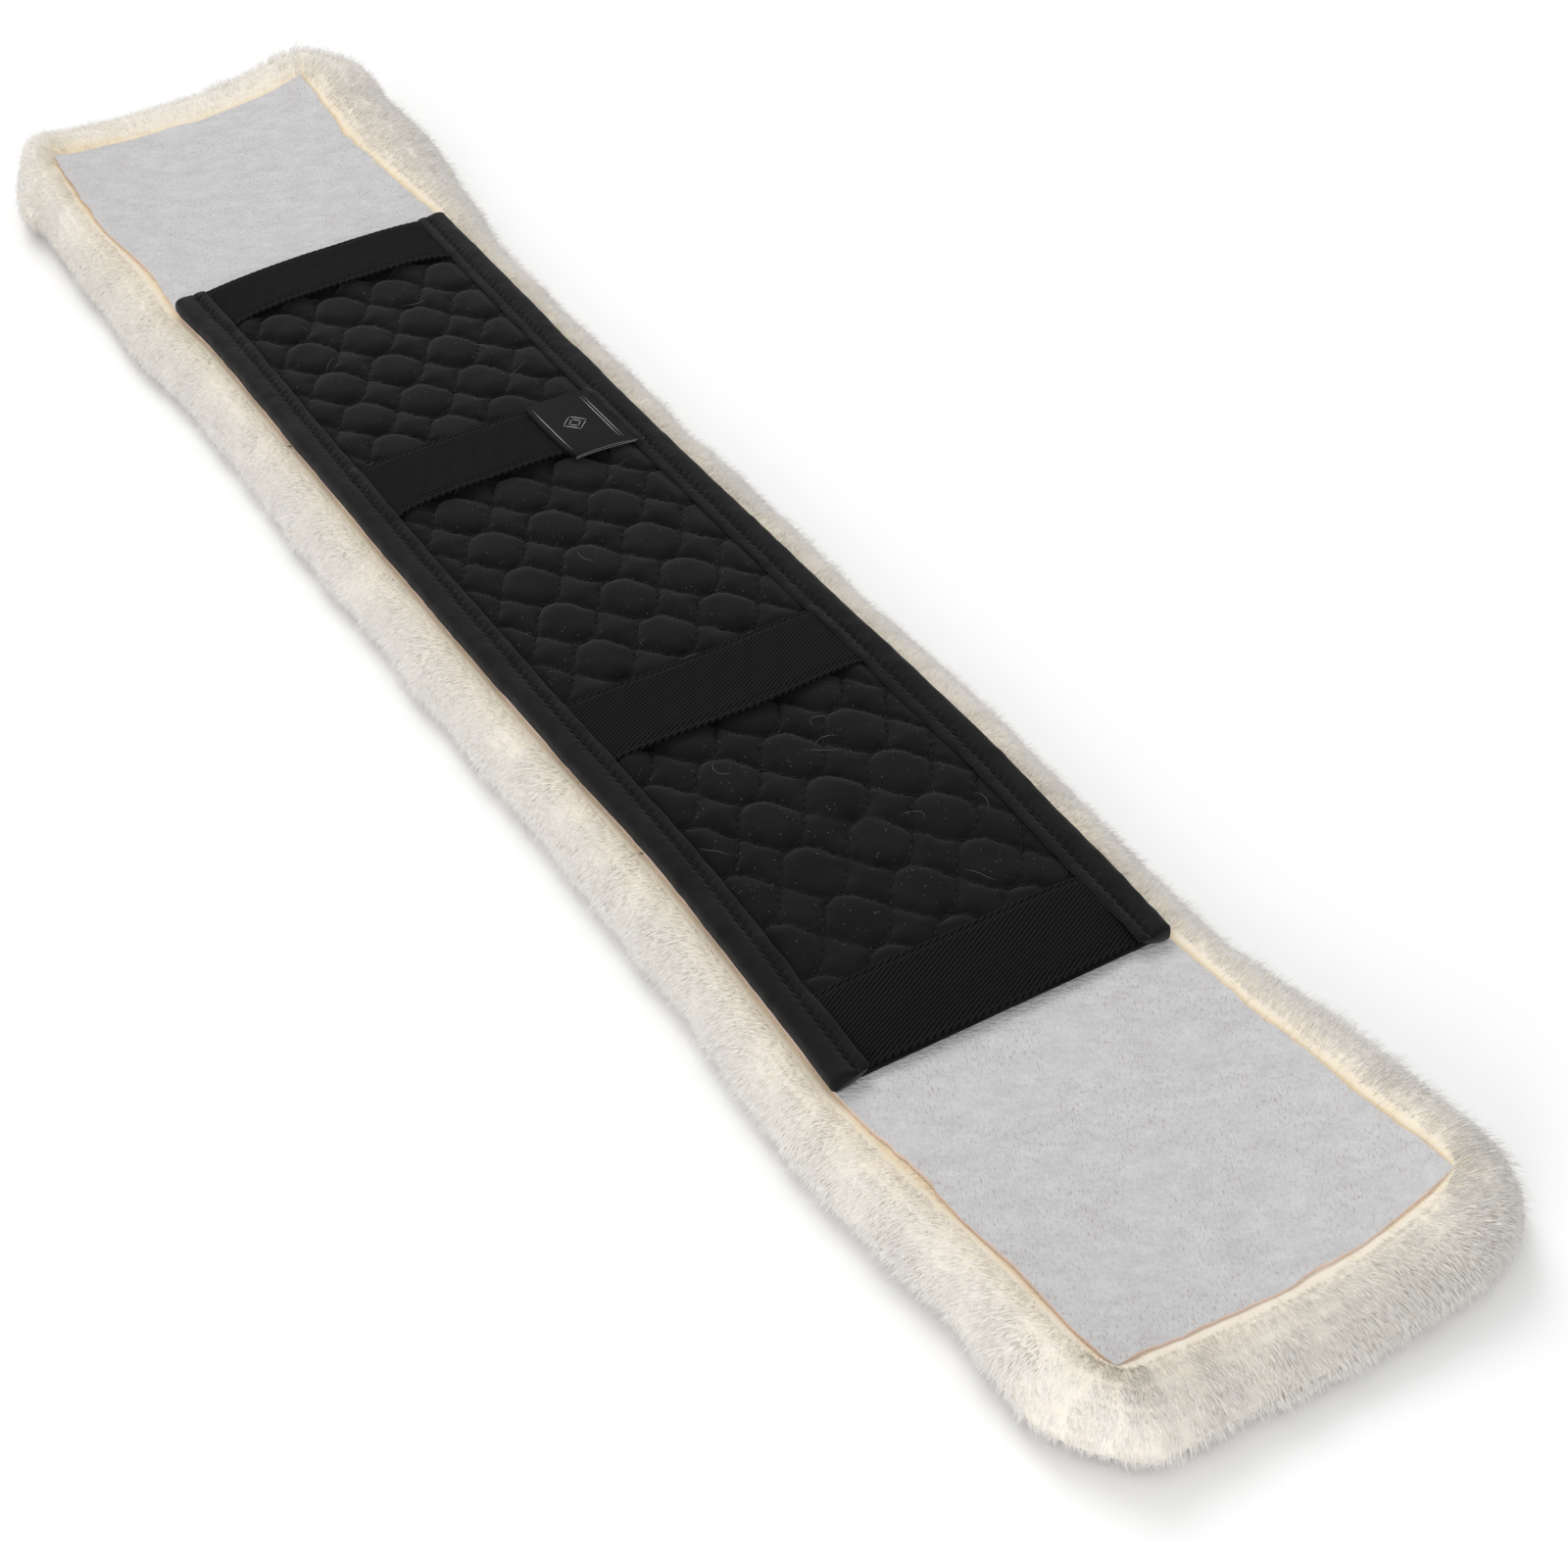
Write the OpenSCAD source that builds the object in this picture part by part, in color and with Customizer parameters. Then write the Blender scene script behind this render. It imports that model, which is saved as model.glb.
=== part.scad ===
// Lambskin girth sleeve: a soft sleeve that a saddle girth slides into, so that wool lies against the horse.
// It lies wool side down. +X runs across its width, +Y along its length to the far end, +Z up.
// The origin is on the surface it rests on, at the centre of the sleeve's outline.

/* [Quilted panel] */
// Width of the quilted panel over both side bindings
panel_w = 122; // [100:1:150]
// Length of the quilted panel between its two ends
panel_l = 525; // [460:5:600]
// Visible width of each side binding
binding_w = 12; // [9:1:15]
// Length of the bare hide flap beyond the panel's far end
far_flap_l = 150; // [100:5:200]
// Length of the bare hide flap beyond the panel's near end
near_flap_l = 126; // [100:2:200]

/* [Lambskin] */
// Thickness of the leather
hide_t = 1.5; // [1:0.1:2.5]
// Depth of the wool pile as the sleeve's own weight leaves it
wool_t = 20; // [15:1:25]
// How far the wool spreads sideways past the leather's cut edge
wool_spread = 27; // [18:1:35]
// How far the near end of the leather is cut in a bow
near_bow = 7; // [0:1:12]

/* [Elastic bands] */
// Width of each elastic band along the sleeve
band_w = 35; // [25:1:38]
// Thickness of the elastic
band_t = 1.2; // [0.8:0.1:1.8]
// Free height under a band before the girth goes in
band_gap = 4.8; // [4.6:0.1:6]

/* [Label] */
// Width of the folded label from its seam to its fold
label_w = 27; // [18:1:28]
// Length of the folded label along the sleeve
label_l = 41; // [30:1:50]

/* [Hidden] */
$fn = 48;
clear = 0.05;

// places along the sleeve, with the whole outline centred on y = 0
hide_half = (far_flap_l + panel_l + near_flap_l) / 2;
panel_y = (near_flap_l - far_flap_l) / 2;
panel_far = panel_y + panel_l / 2;
panel_near = panel_y - panel_l / 2;
hinge_beyond = 22;
hinge_far = panel_far + hinge_beyond;
hinge_near = panel_near - hinge_beyond;

// the layers, from the wool up
leather_z = wool_t;
backing_z = leather_z + hide_t;
cloth_t = 0.6;
wadding_z = backing_z + cloth_t;
wadding_t = 3.3;
quilt_z = wadding_z + wadding_t;
quilt_top = quilt_z + cloth_t;
binding_lip_t = 3;
binding_top = quilt_top + binding_lip_t;
bind_side_t = 1.2;
bind_under_w = 5;
tail_z = quilt_top + clear;
label_tail_z = tail_z + band_t + 2 * clear;

// the folds: a stretch beyond a fold may go down, wool inwards, and up, wool outwards
fold_z = leather_z + hide_t / 2;
down_max = 45;
up_max_panel = 50;
up_max_flap = 75;
fold_clear = 0.2;

// each elastic's path across the panel: a low arch, a drop at each side, and a tail tucked under the binding
span_half = 38;
drop_w = 9;
tuck_w = 8;
band_arch = 1.5;
part_gap = 0.15;
label_hold_x = 20;
band_under_z = quilt_top + band_gap;
inner_half = panel_w / 2 - binding_w;
tuck_half = inner_half + tuck_w;
band_y = [panel_far - band_w / 2, panel_y + 86, panel_y - 81, panel_near + band_w / 2];

// the label: a strip folded in two, hinged on its seam at the right binding
label_layer_t = 0.5;
label_slit = 0.8;
label_lift = 0.3;
label_y = band_y[1] - 3.5;
label_seam_x = inner_half - 0.4;
label_hinge_z = binding_top + 0.2;
label_fold_r = label_layer_t + label_slit / 2;
label_fold_x = inner_half - label_w + label_fold_r;

// thread, and the quilting's cells
thread_t = 0.3;
thread_w = 0.7;
stitch_l = 2.6;
stitch_pitch = 4;
stitch_inset = 3;
cell_w = 25;
cell_l = 26;
wave = 0.16;

// the two halves of the panel part at its fold by what the binding's top needs when the panel folds up
panel_gap = fold_clear + (binding_top + thread_t - fold_z) * tan(up_max_panel / 2);
far_half = [panel_y + panel_gap, panel_far];
near_half = [panel_near, panel_y - panel_gap];

// ---- helpers ----

// an arc of points round (x, y), from angle a to a + 90
function quarter(x, y, r, a, n = 8) = [for (i = [0:n]) [x + r * cos(a + 90 * i / n), y + r * sin(a + 90 * i / n)]];

// a slab between two heights and two places along the sleeve
module slab(half_w, y0, y1, z0, z1) {
    translate([-half_w, y0, z0]) cube([2 * half_w, y1 - y0, z1 - z0]);
}

// a cross-section, drawn as x and z, run along the sleeve from y0 to y1
module along(y0, y1) {
    translate([0, y1, 0]) rotate([90, 0, 0]) linear_extrude(y1 - y0) children();
}

// the plan of a strip from y0 to its free end at y1, with rounded corners and the end cut in a bow
module end_plan(half_w, y0, y1, r, bow) {
    inner = abs(y1 - y0) - r;
    bow_steps = 12;
    end = concat(
        quarter(half_w - r, inner, r, 0),
        [for (i = [1:bow_steps - 1]) [(half_w - r) * (1 - 2 * i / bow_steps), inner + r]],
        quarter(r - half_w, inner, r, 90)
    );
    bowed = [for (p = end) [p[0], p[1] + bow * (1 - pow(p[0] / half_w, 2))]];
    translate([0, y0]) mirror([0, y1 < y0 ? 1 : 0]) polygon(concat([[half_w, 0]], bowed, [[-half_w, 0]]));
}

// ---- lambskin ----

// the pile is drawn as layers: it spreads sideways most at half its depth, and it leaves a notch under each
// fold, which closes when the sleeve bends round the horse
wool_layers = 5;
layer_t = wool_t / wool_layers;
function layer_z(i) = i * layer_t;
function layer_spread(i) = wool_spread * sqrt(1 - 0.7 * pow(2 * (i + 0.5) / wool_layers - 1, 2));
function layer_gap(i) = fold_clear + (fold_z - layer_z(i)) * tan(down_max / 2);

module wool_strip(y0, y1) {
    color("ivory") for (i = [0:wool_layers - 1])
        slab(panel_w / 2 + layer_spread(i), y0 + layer_gap(i), y1 - layer_gap(i), layer_z(i), layer_z(i + 1));
}

module wool_end(y0, y1, bow) {
    s = sign(y1 - y0);
    color("ivory") for (i = [0:wool_layers - 1])
        translate([0, 0, layer_z(i)]) linear_extrude(layer_t)
            end_plan(panel_w / 2 + layer_spread(i), y0 + s * layer_gap(i), y1 + s * layer_spread(i),
                18 + layer_spread(i), bow);
}

leather_gap = fold_clear + hide_t / 2 * tan(up_max_flap / 2);

module leather_strip(y0, y1) {
    color("lightgray") slab(panel_w / 2, y0 + leather_gap, y1 - leather_gap, leather_z, backing_z);
}

module leather_end(y0, y1, bow) {
    color("lightgray") translate([0, 0, leather_z]) linear_extrude(hide_t)
        end_plan(panel_w / 2, y0 + sign(y1 - y0) * leather_gap, y1, 3, bow);
}

near_end = near_bow - hide_half;
module wool_far_flap() { wool_end(hinge_far, hide_half, 0); }
module wool_panel_far() { wool_strip(panel_y, hinge_far); }
module wool_panel_near() { wool_strip(hinge_near, panel_y); }
module wool_near_flap() { wool_end(hinge_near, near_end, near_bow); }
module leather_far_flap() { leather_end(hinge_far, hide_half, 0); }
module leather_panel_far() { leather_strip(panel_y, hinge_far); }
module leather_panel_near() { leather_strip(hinge_near, panel_y); }
module leather_near_flap() { leather_end(hinge_near, near_end, near_bow); }

// ---- quilted panel ----

backing_half_w = panel_w / 2 - bind_under_w - clear;
filling_half_w = panel_w / 2 - bind_side_t - clear;

module layer(half, half_w, z, t) { slab(half_w, half[0], half[1], z, z + t); }
module backing_cloth_far() { color("black") layer(far_half, backing_half_w, backing_z, cloth_t); }
module backing_cloth_near() { color("black") layer(near_half, backing_half_w, backing_z, cloth_t); }
module wadding_far() { color("gainsboro") layer(far_half, filling_half_w, wadding_z, wadding_t); }
module wadding_near() { color("gainsboro") layer(near_half, filling_half_w, wadding_z, wadding_t); }
module quilt_cloth_far() { color("dimgray") layer(far_half, filling_half_w, quilt_z, cloth_t); }
module quilt_cloth_near() { color("dimgray") layer(near_half, filling_half_w, quilt_z, cloth_t); }

// the quilting thread runs in two families of wavy diagonals. u and v count cells along them, and the waves
// leave large round cells and small pinched ones by turns
function cell_point(u, v) = [cell_w * (u + v) / 2, cell_l * (u - v) / 2];
function wavy(i, t) = i + wave * sin(180 * (t + i));

module quilt_line(i, family) {
    reach = 5;
    path = [for (k = [-2 * reach:2 * reach]) let (t = k / 2 - i)
        family == 0 ? cell_point(wavy(i, t), t) : cell_point(t, wavy(i, t))];
    side = thread_w / 2 / norm([cell_w, cell_l]) * [family == 0 ? cell_l : -cell_l, cell_w];
    polygon(concat([for (p = path) p + side], [for (k = [len(path) - 1:-1:0]) path[k] - side]));
}

module quilt_thread(y0, y1) {
    rows = ceil(panel_l / cell_l / 2) + 3;
    half_w = span_half + drop_w - 1;
    color("black") translate([0, 0, quilt_top]) linear_extrude(thread_t) intersection() {
        translate([-half_w, y0]) square([2 * half_w, y1 - y0]);
        translate([0, panel_y]) for (i = [-rows:rows], family = [0, 1]) quilt_line(i, family);
    }
}

module quilt_thread_far() { quilt_thread(far_half[0] + 1, band_y[0] - band_w / 2); }
module quilt_thread_near() { quilt_thread(band_y[3] + band_w / 2, near_half[1] - 1); }

// ---- side bindings ----

// a binding's cross-section at the right: a folded strip wrapped round the panel's edge, thicker on top
module binding_section() {
    edge = panel_w / 2;
    mid = (binding_top + backing_z) / 2;
    roll_h = (binding_top - backing_z) / 2;
    roll_w = 1.1;
    bevel = 0.6;
    polygon(concat(
        [[inner_half, quilt_top], [inner_half, binding_top - bevel], [inner_half + bevel, binding_top]],
        [for (a = [90:-18:-90]) [edge - roll_w + roll_w * cos(a), mid + roll_h * sin(a)]],
        [[edge - bind_under_w, backing_z], [edge - bind_under_w, wadding_z],
         [edge - bind_side_t, wadding_z], [edge - bind_side_t, quilt_top]]
    ));
}

// the binding at the right, with a pocket for each elastic's tail and, if it has a label, for the label's
module binding(half, has_label) {
    color([0.13, 0.13, 0.13]) difference() {
        along(half[0], half[1]) binding_section();
        for (y = band_y)
            translate([inner_half - 1, y - band_w / 2 - clear, quilt_top - clear])
                cube([tuck_w + 1 + clear, band_w + 2 * clear, band_t + 3 * clear]);
        if (has_label)
            translate([inner_half - 1, label_y - label_l / 2 - clear, label_tail_z - clear])
                cube([tuck_w + 1 + clear, label_l + 2 * clear, 2 * label_layer_t + 2 * clear]);
    }
}

module binding_left_far() { mirror([1, 0, 0]) binding(far_half, false); }
module binding_left_near() { mirror([1, 0, 0]) binding(near_half, false); }
module binding_right_far() { binding(far_half, true); }
module binding_right_near() { binding(near_half, false); }

// the row of stitches that holds a binding down
module binding_thread(side, half) {
    x = side * (inner_half + stitch_inset);
    margin = 2;
    color("black") for (y = [half[0] + margin:stitch_pitch:half[1] - margin - stitch_l])
        translate([x - thread_w / 2, y, binding_top]) cube([thread_w, stitch_l, thread_t]);
}

module binding_thread_left_far() { binding_thread(-1, far_half); }
module binding_thread_left_near() { binding_thread(-1, near_half); }
module binding_thread_right_far() { binding_thread(1, far_half); }
module binding_thread_right_near() { binding_thread(1, near_half); }

// ---- elastic bands ----

// height of an elastic's underside at x
function band_under(x) =
    abs(x) <= span_half ? band_under_z + band_arch * (1 - pow(x / span_half, 2))
    : abs(x) < span_half + drop_w ? lookup(abs(x), [[span_half, band_under_z], [span_half + drop_w, tail_z]])
    : tail_z;

// the places across the panel where an elastic changes slope between x0 and x1
function band_stations(x0, x1) =
    let (bends = concat([for (i = [-6:6]) 6 * i], [span_half, span_half + drop_w]))
    concat([x0], [for (x = bends) if (x > x0 && x < x1) x], [x1]);

module band_piece(y, x0, x1) {
    xs = band_stations(x0, x1);
    along(y - band_w / 2, y + band_w / 2) polygon(concat(
        [for (x = xs) [x, band_under(x) + band_t]],
        [for (k = [len(xs) - 1:-1:0]) [xs[k], band_under(xs[k])]]
    ));
}

// the free middle of an elastic, which stretches up, from its left end to x1
module elastic_span(y, x1) { color([0.2, 0.2, 0.22]) band_piece(y, -span_half, x1); }

// its two ends, which the bindings hold down. The right one starts at x1
module elastic_ends(y, x1) {
    color([0.27, 0.27, 0.3]) {
        mirror([1, 0, 0]) band_piece(y, span_half + part_gap, tuck_half);
        band_piece(y, x1 + part_gap, tuck_half);
    }
}

module elastic_1() { elastic_span(band_y[0], span_half); }
module elastic_2() { elastic_span(band_y[1], label_hold_x); }
module elastic_3() { elastic_span(band_y[2], span_half); }
module elastic_4() { elastic_span(band_y[3], span_half); }
module elastic_1_sewn_ends() { elastic_ends(band_y[0], span_half); }
module elastic_2_sewn_ends() { elastic_ends(band_y[1], label_hold_x); }
module elastic_3_sewn_ends() { elastic_ends(band_y[2], span_half); }
module elastic_4_sewn_ends() { elastic_ends(band_y[3], span_half); }

// ---- label ----

function label_under(x) = band_under(x) + band_t + label_lift;

// the folded strip: its lower and upper layer meet at the fold on the left and at the seam on the right
module label() {
    xs = [span_half, 32, 26, label_fold_x];
    root_t = label_layer_t;
    full_t = 2 * label_layer_t + label_slit;
    fold_mid = label_under(label_fold_x) + label_fold_r;
    color([0.1, 0.1, 0.12]) along(label_y - label_l / 2, label_y + label_l / 2) difference() {
        polygon(concat(
            [[label_seam_x, label_hinge_z - root_t]],
            [for (x = xs) [x, label_under(x)]],
            [for (a = [255:-15:105]) [label_fold_x + label_fold_r * cos(a), fold_mid + label_fold_r * sin(a)]],
            [for (k = [len(xs) - 1:-1:0]) [xs[k], label_under(xs[k]) + full_t]],
            [[label_seam_x, label_hinge_z + root_t]]
        ));
        polygon(concat(
            [for (x = xs) [x, label_under(x) + label_layer_t]],
            [for (k = [len(xs) - 1:-1:0]) [xs[k], label_under(xs[k]) + label_layer_t + label_slit]]
        ));
    }
}

// the label's two tails, one on the other under the right binding
module label_sewn_ends() {
    color([0.1, 0.1, 0.12]) translate([inner_half - clear, label_y - label_l / 2, label_tail_z])
        cube([tuck_w, label_l, 2 * label_layer_t]);
}

// ---- drawing ----

wool_far_flap();
wool_panel_far();
wool_panel_near();
wool_near_flap();
leather_far_flap();
leather_panel_far();
leather_panel_near();
leather_near_flap();
backing_cloth_far();
backing_cloth_near();
wadding_far();
wadding_near();
quilt_cloth_far();
quilt_cloth_near();
quilt_thread_far();
quilt_thread_near();
binding_left_far();
binding_left_near();
binding_right_far();
binding_right_near();
binding_thread_left_far();
binding_thread_left_near();
binding_thread_right_far();
binding_thread_right_near();
elastic_1();
elastic_2();
elastic_3();
elastic_4();
elastic_1_sewn_ends();
elastic_2_sewn_ends();
elastic_3_sewn_ends();
elastic_4_sewn_ends();
label();
label_sewn_ends();
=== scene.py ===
"""A sheepskin girth sleeve: hide with its wool, a quilted panel bound along both sides, four
elastic bands and a folded label. All is laid out flat in mm, then draped as the sleeve lies."""

import math

import bmesh
import bpy
import numpy as np
from mathutils import Matrix, Vector


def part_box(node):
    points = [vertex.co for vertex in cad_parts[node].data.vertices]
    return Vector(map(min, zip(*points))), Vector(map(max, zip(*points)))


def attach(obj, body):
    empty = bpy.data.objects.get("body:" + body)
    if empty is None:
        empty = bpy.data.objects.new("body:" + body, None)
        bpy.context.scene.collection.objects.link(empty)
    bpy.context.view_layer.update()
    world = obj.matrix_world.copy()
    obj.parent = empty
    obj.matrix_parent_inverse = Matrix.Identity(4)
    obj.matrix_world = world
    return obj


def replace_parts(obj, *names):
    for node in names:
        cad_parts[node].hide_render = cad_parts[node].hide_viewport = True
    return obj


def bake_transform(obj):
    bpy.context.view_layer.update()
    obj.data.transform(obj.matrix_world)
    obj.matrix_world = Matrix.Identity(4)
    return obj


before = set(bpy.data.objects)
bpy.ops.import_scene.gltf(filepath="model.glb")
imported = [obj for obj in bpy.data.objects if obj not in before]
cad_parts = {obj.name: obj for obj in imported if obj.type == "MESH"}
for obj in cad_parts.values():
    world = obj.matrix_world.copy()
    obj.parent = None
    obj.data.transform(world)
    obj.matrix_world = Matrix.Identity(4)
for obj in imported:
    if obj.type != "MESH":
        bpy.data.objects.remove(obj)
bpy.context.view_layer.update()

MM = 0.001
rng = np.random.default_rng(20261)


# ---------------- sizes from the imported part
def box_mm(node):
    """Lowest and highest corner of a CAD node, in millimetres."""
    return [np.array(corner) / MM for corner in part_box(node)]


HALF = box_mm("leather_panel_far")[1][0]
HIDE_LOW, HIDE_TOP = box_mm("leather_panel_far")[0][2], box_mm("leather_panel_far")[1][2]
HIDE_FAR, HIDE_NEAR = box_mm("leather_far_flap")[1][1], box_mm("leather_near_flap")[0][1]
PANEL_FAR, PANEL_NEAR = box_mm("quilt_cloth_far")[1][1], box_mm("quilt_cloth_near")[0][1]
FLAP_FAR, FLAP_NEAR = HIDE_FAR - PANEL_FAR, PANEL_NEAR - HIDE_NEAR
QUILT_BASE = box_mm("quilt_cloth_far")[0][2]
BAND_Y = [sum(box_mm(f"elastic_{n}")[k][1] for k in (0, 1)) / 2 for n in (1, 2, 3, 4)]
BAND_W = box_mm("elastic_1")[1][1] - box_mm("elastic_1")[0][1]
LABEL_LOW, LABEL_HIGH = box_mm("label")

NEAR_BOW = 4.2  # the near end of the hide is cut as a shallow curve
BIND_W = 12.0
INNER = HALF - BIND_W
CUT_FAR, CUT_NEAR = 130.0, -150.0  # where the three lengths of hide and wool meet


# ---------------- repeatable noise and the lay
def noise(x, y, size, seed):
    """Smooth repeatable noise from -1 to 1 with features of that size."""
    u, v = np.asarray(x) / size + 17.3 * seed, np.asarray(y) / size - 9.1 * seed
    i, j = np.floor(u), np.floor(v)
    f, g = u - i, v - j
    f, g = f * f * (3 - 2 * f), g * g * (3 - 2 * g)

    def corner(a, b):
        return np.mod(np.sin((i + a) * 127.1 + (j + b) * 311.7 + seed * 74.7) * 43758.5453, 1.0)

    low = corner(0, 0) * (1 - f) + corner(1, 0) * f
    high = corner(0, 1) * (1 - f) + corner(1, 1) * f
    return (low * (1 - g) + high * g) * 2 - 1


def ramp(value, start, end):
    """Smooth step from 0 at start to 1 at end."""
    t = np.clip((np.asarray(value, float) - start) / (end - start), 0, 1)
    return t * t * (3 - 2 * t)


def hump(value, middle, width):
    """1 at the middle, falling off to 0 smoothly each way."""
    return np.exp(-(((value - middle) / width) ** 2))


def unit(v):
    """Vectors made one long."""
    return v / np.maximum(np.linalg.norm(v, axis=-1, keepdims=True), 1e-9)


def drape(points):
    """Moves flat points as the girth lies: flaps swayed aside and curled up, long edges wandering."""
    x, y, z = np.asarray(points, float).T
    far = np.clip((y - PANEL_FAR) / FLAP_FAR, 0, 1.15)
    near = np.clip((PANEL_NEAR - y) / FLAP_NEAR, 0, 1.15)
    side = np.clip(np.abs(x) / HALF, 0, 1.12)
    left = np.clip(-x / HALF, 0, 1.12)
    sway = 11.0 * near**1.1 - 2.6 * np.sin((y + 25) / 120) + 1.7 * hump(y, -165, 60)
    # the near end is wider at its left, but for the corner
    sway = sway + left * (5.0 * np.clip(near, 0, 1) ** 1.4 - 2.2 * ramp(-y, 345, 395))
    # the quilted panel is drawn in at its near end, and at the left of its far end
    sway = sway - 3.2 * left**2 * hump(y, PANEL_FAR, 32)
    drawn_in = 2.2 * hump(y, PANEL_NEAR, 13)
    drawn_in = drawn_in - 4.5 * left**1.3 * hump(y, PANEL_FAR, 17)
    # the far end of the hide lies nearer and more to the left in its ring of wool
    sway = sway - 9.0 * ramp(y, 258, 345) * (1 - ramp(np.abs(x), HALF + 1, HALF + 30))
    drawn_in = drawn_in - 6.0 * ramp(y, 300, 392) * (1 - ramp(y, HIDE_FAR + 1, HIDE_FAR + 28))
    curl = far**1.6 * (2.5 + 7.5 * side**2.6) + near**1.6 * np.where(x > 0, 7.5, 4.5) * side**2.6
    swell = 0.7 * noise(x, y, 85, 3)
    lift = np.clip(z / HIDE_LOW, 0, 1.15)
    return np.stack([x + sway, y + drawn_in, z + (curl + swell * (1 - side * 0.3)) * lift], 1)


# ---------------- meshes
def build(name, points, face_groups, lay=None, smooth=True, slots=None, draped=True):
    """A mesh object from points in mm and groups of faces. lay is the flat place of each point, kept
    as a UV map so that weaves and grain stay on the cloth when it moves."""
    points = np.asarray(points, float)
    lay = points[:, :2] if lay is None else lay
    placed = drape(points) if draped else points
    groups = [np.asarray(g) for g in face_groups if len(g)]
    corners = np.concatenate([g.ravel() for g in groups])
    counts = np.concatenate([np.full(len(g), g.shape[1]) for g in groups])
    mesh = bpy.data.meshes.new(name)
    mesh.vertices.add(len(placed))
    mesh.vertices.foreach_set("co", (placed * MM).astype(np.float32).ravel())
    mesh.loops.add(len(corners))
    mesh.loops.foreach_set("vertex_index", corners.astype(np.int32))
    mesh.polygons.add(len(counts))
    mesh.polygons.foreach_set("loop_start", (np.cumsum(counts) - counts).astype(np.int32))
    mesh.update(calc_edges=True)
    mesh.polygons.foreach_set("use_smooth", np.full(len(counts), smooth))
    if slots is not None:
        mesh.polygons.foreach_set("material_index", np.asarray(slots).astype(np.int32))
    layer = mesh.uv_layers.new(name="lay")
    layer.data.foreach_set("uv", (lay[corners] * MM).astype(np.float32).ravel())
    mesh.validate()
    obj = bpy.data.objects.new(name, mesh)
    bpy.context.scene.collection.objects.link(obj)
    return obj


def grid_faces(rows, cols, loop=False):
    """Quads between neighbouring rows of points; loop joins each row's last point to its first."""
    i, j = np.meshgrid(np.arange(rows - 1), np.arange(cols if loop else cols - 1), indexing="ij")
    k = (j + 1) % cols
    quads = [i * cols + j, i * cols + k, (i + 1) * cols + k, (i + 1) * cols + j]
    return np.stack(quads, -1).reshape(-1, 4)


def loft(loops):
    """Points, walls and end faces of a closed solid through loops of equally many points."""
    loops = np.asarray(loops, float)
    rows, cols = loops.shape[:2]
    points = loops.reshape(-1, 3)
    middles = np.array([loops[0].mean(0), loops[-1].mean(0)])
    first = np.arange(cols)
    last = first + (rows - 1) * cols
    low = np.stack([np.full(cols, rows * cols), np.roll(first, -1), first], 1)
    high = np.stack([np.full(cols, rows * cols + 1), last, np.roll(last, -1)], 1)
    return np.vstack([points, middles]), grid_faces(rows, cols, loop=True), np.vstack([low, high])


def slab(top, bottom):
    """Points and faces of a closed solid between two grids of points of the same shape, with a
    material slot for each face: 0 on both sides and 1 on the rim."""
    rows, cols = top.shape[:2]
    count = rows * cols
    index = np.arange(count).reshape(rows, cols)
    rim = np.concatenate([index[0, :], index[1:, -1], index[-1, -2::-1], index[-2:0:-1, 0]])
    after = np.roll(rim, -1)
    over = grid_faces(rows, cols)
    under = over[:, ::-1] + count
    edge = np.stack([after, rim, rim + count, after + count], 1)
    points = np.vstack([top.reshape(-1, 3), bottom.reshape(-1, 3)])
    return points, [over, under, edge], np.repeat([0, 1], [2 * len(over), len(edge)])


def facing_out(obj, crisp=None):
    """Turns a closed mesh's faces outward; edges sharper than crisp degrees stay crisp."""
    held = bmesh.new()
    held.from_mesh(obj.data)
    bmesh.ops.recalc_face_normals(held, faces=held.faces)
    held.to_mesh(obj.data)
    held.free()
    if crisp is not None:
        obj.data.set_sharp_from_angle(angle=math.radians(crisp))
    return obj


def sweep(paths, widths, sides, aside):
    """Closed round rods along paths, an array of (rods, stations, 3), with a radius per station."""
    count, rows = paths.shape[:2]
    along = unit(np.gradient(paths, axis=1))
    across = unit(np.cross(along, aside))
    up = np.cross(across, along)
    turn = np.arange(sides) * 2 * np.pi / sides
    ring = across[:, :, None] * np.cos(turn)[:, None] + up[:, :, None] * np.sin(turn)[:, None]
    points = paths[:, :, None] + ring * widths[None, :, None, None]
    offset = (np.arange(count) * rows * sides)[:, None, None]
    caps = np.array([range(sides)[::-1], range((rows - 1) * sides, rows * sides)])
    faces = (grid_faces(rows, sides, loop=True)[None] + offset).reshape(-1, 4)
    return points.reshape(-1, 3), [faces, (caps[None] + offset).reshape(-1, sides)]


def beads(starts, ends, radius, sides=6):
    """Thread stitches: rounded rods from each start to each end."""
    shares, fat = np.array([(0.0, 0.35), (0.12, 0.85), (0.5, 1.0), (0.88, 0.85), (1.0, 0.35)]).T
    paths = starts[:, None] + (ends - starts)[:, None] * shares[:, None]
    return sweep(paths, radius * fat, sides, (0.0, 0.0, 1.0))


def tubes(paths, radius):
    """Thin tubes along paths, tapered at both ends."""
    share = np.linspace(0, 1, np.shape(paths)[1])
    fat = np.clip(4 * np.minimum(share, share[::-1]), 0.3, 1)
    return sweep(np.asarray(paths, float), radius * fat, 4, (0.13, 0.29, 0.95))


# ---------------- materials
def paint(name, colour, roughness, specular=0.5, sheen=0.0):
    """A plain material."""
    mat = bpy.data.materials.new(name)
    mat.use_nodes = True
    shader = mat.node_tree.nodes["Principled BSDF"]
    shader.inputs["Base Color"].default_value = (*colour, 1)
    shader.inputs["Roughness"].default_value = roughness
    shader.inputs["Specular IOR Level"].default_value = specular
    shader.inputs["Sheen Weight"].default_value = sheen
    shader.inputs["Sheen Roughness"].default_value = 0.45
    return mat


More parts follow.
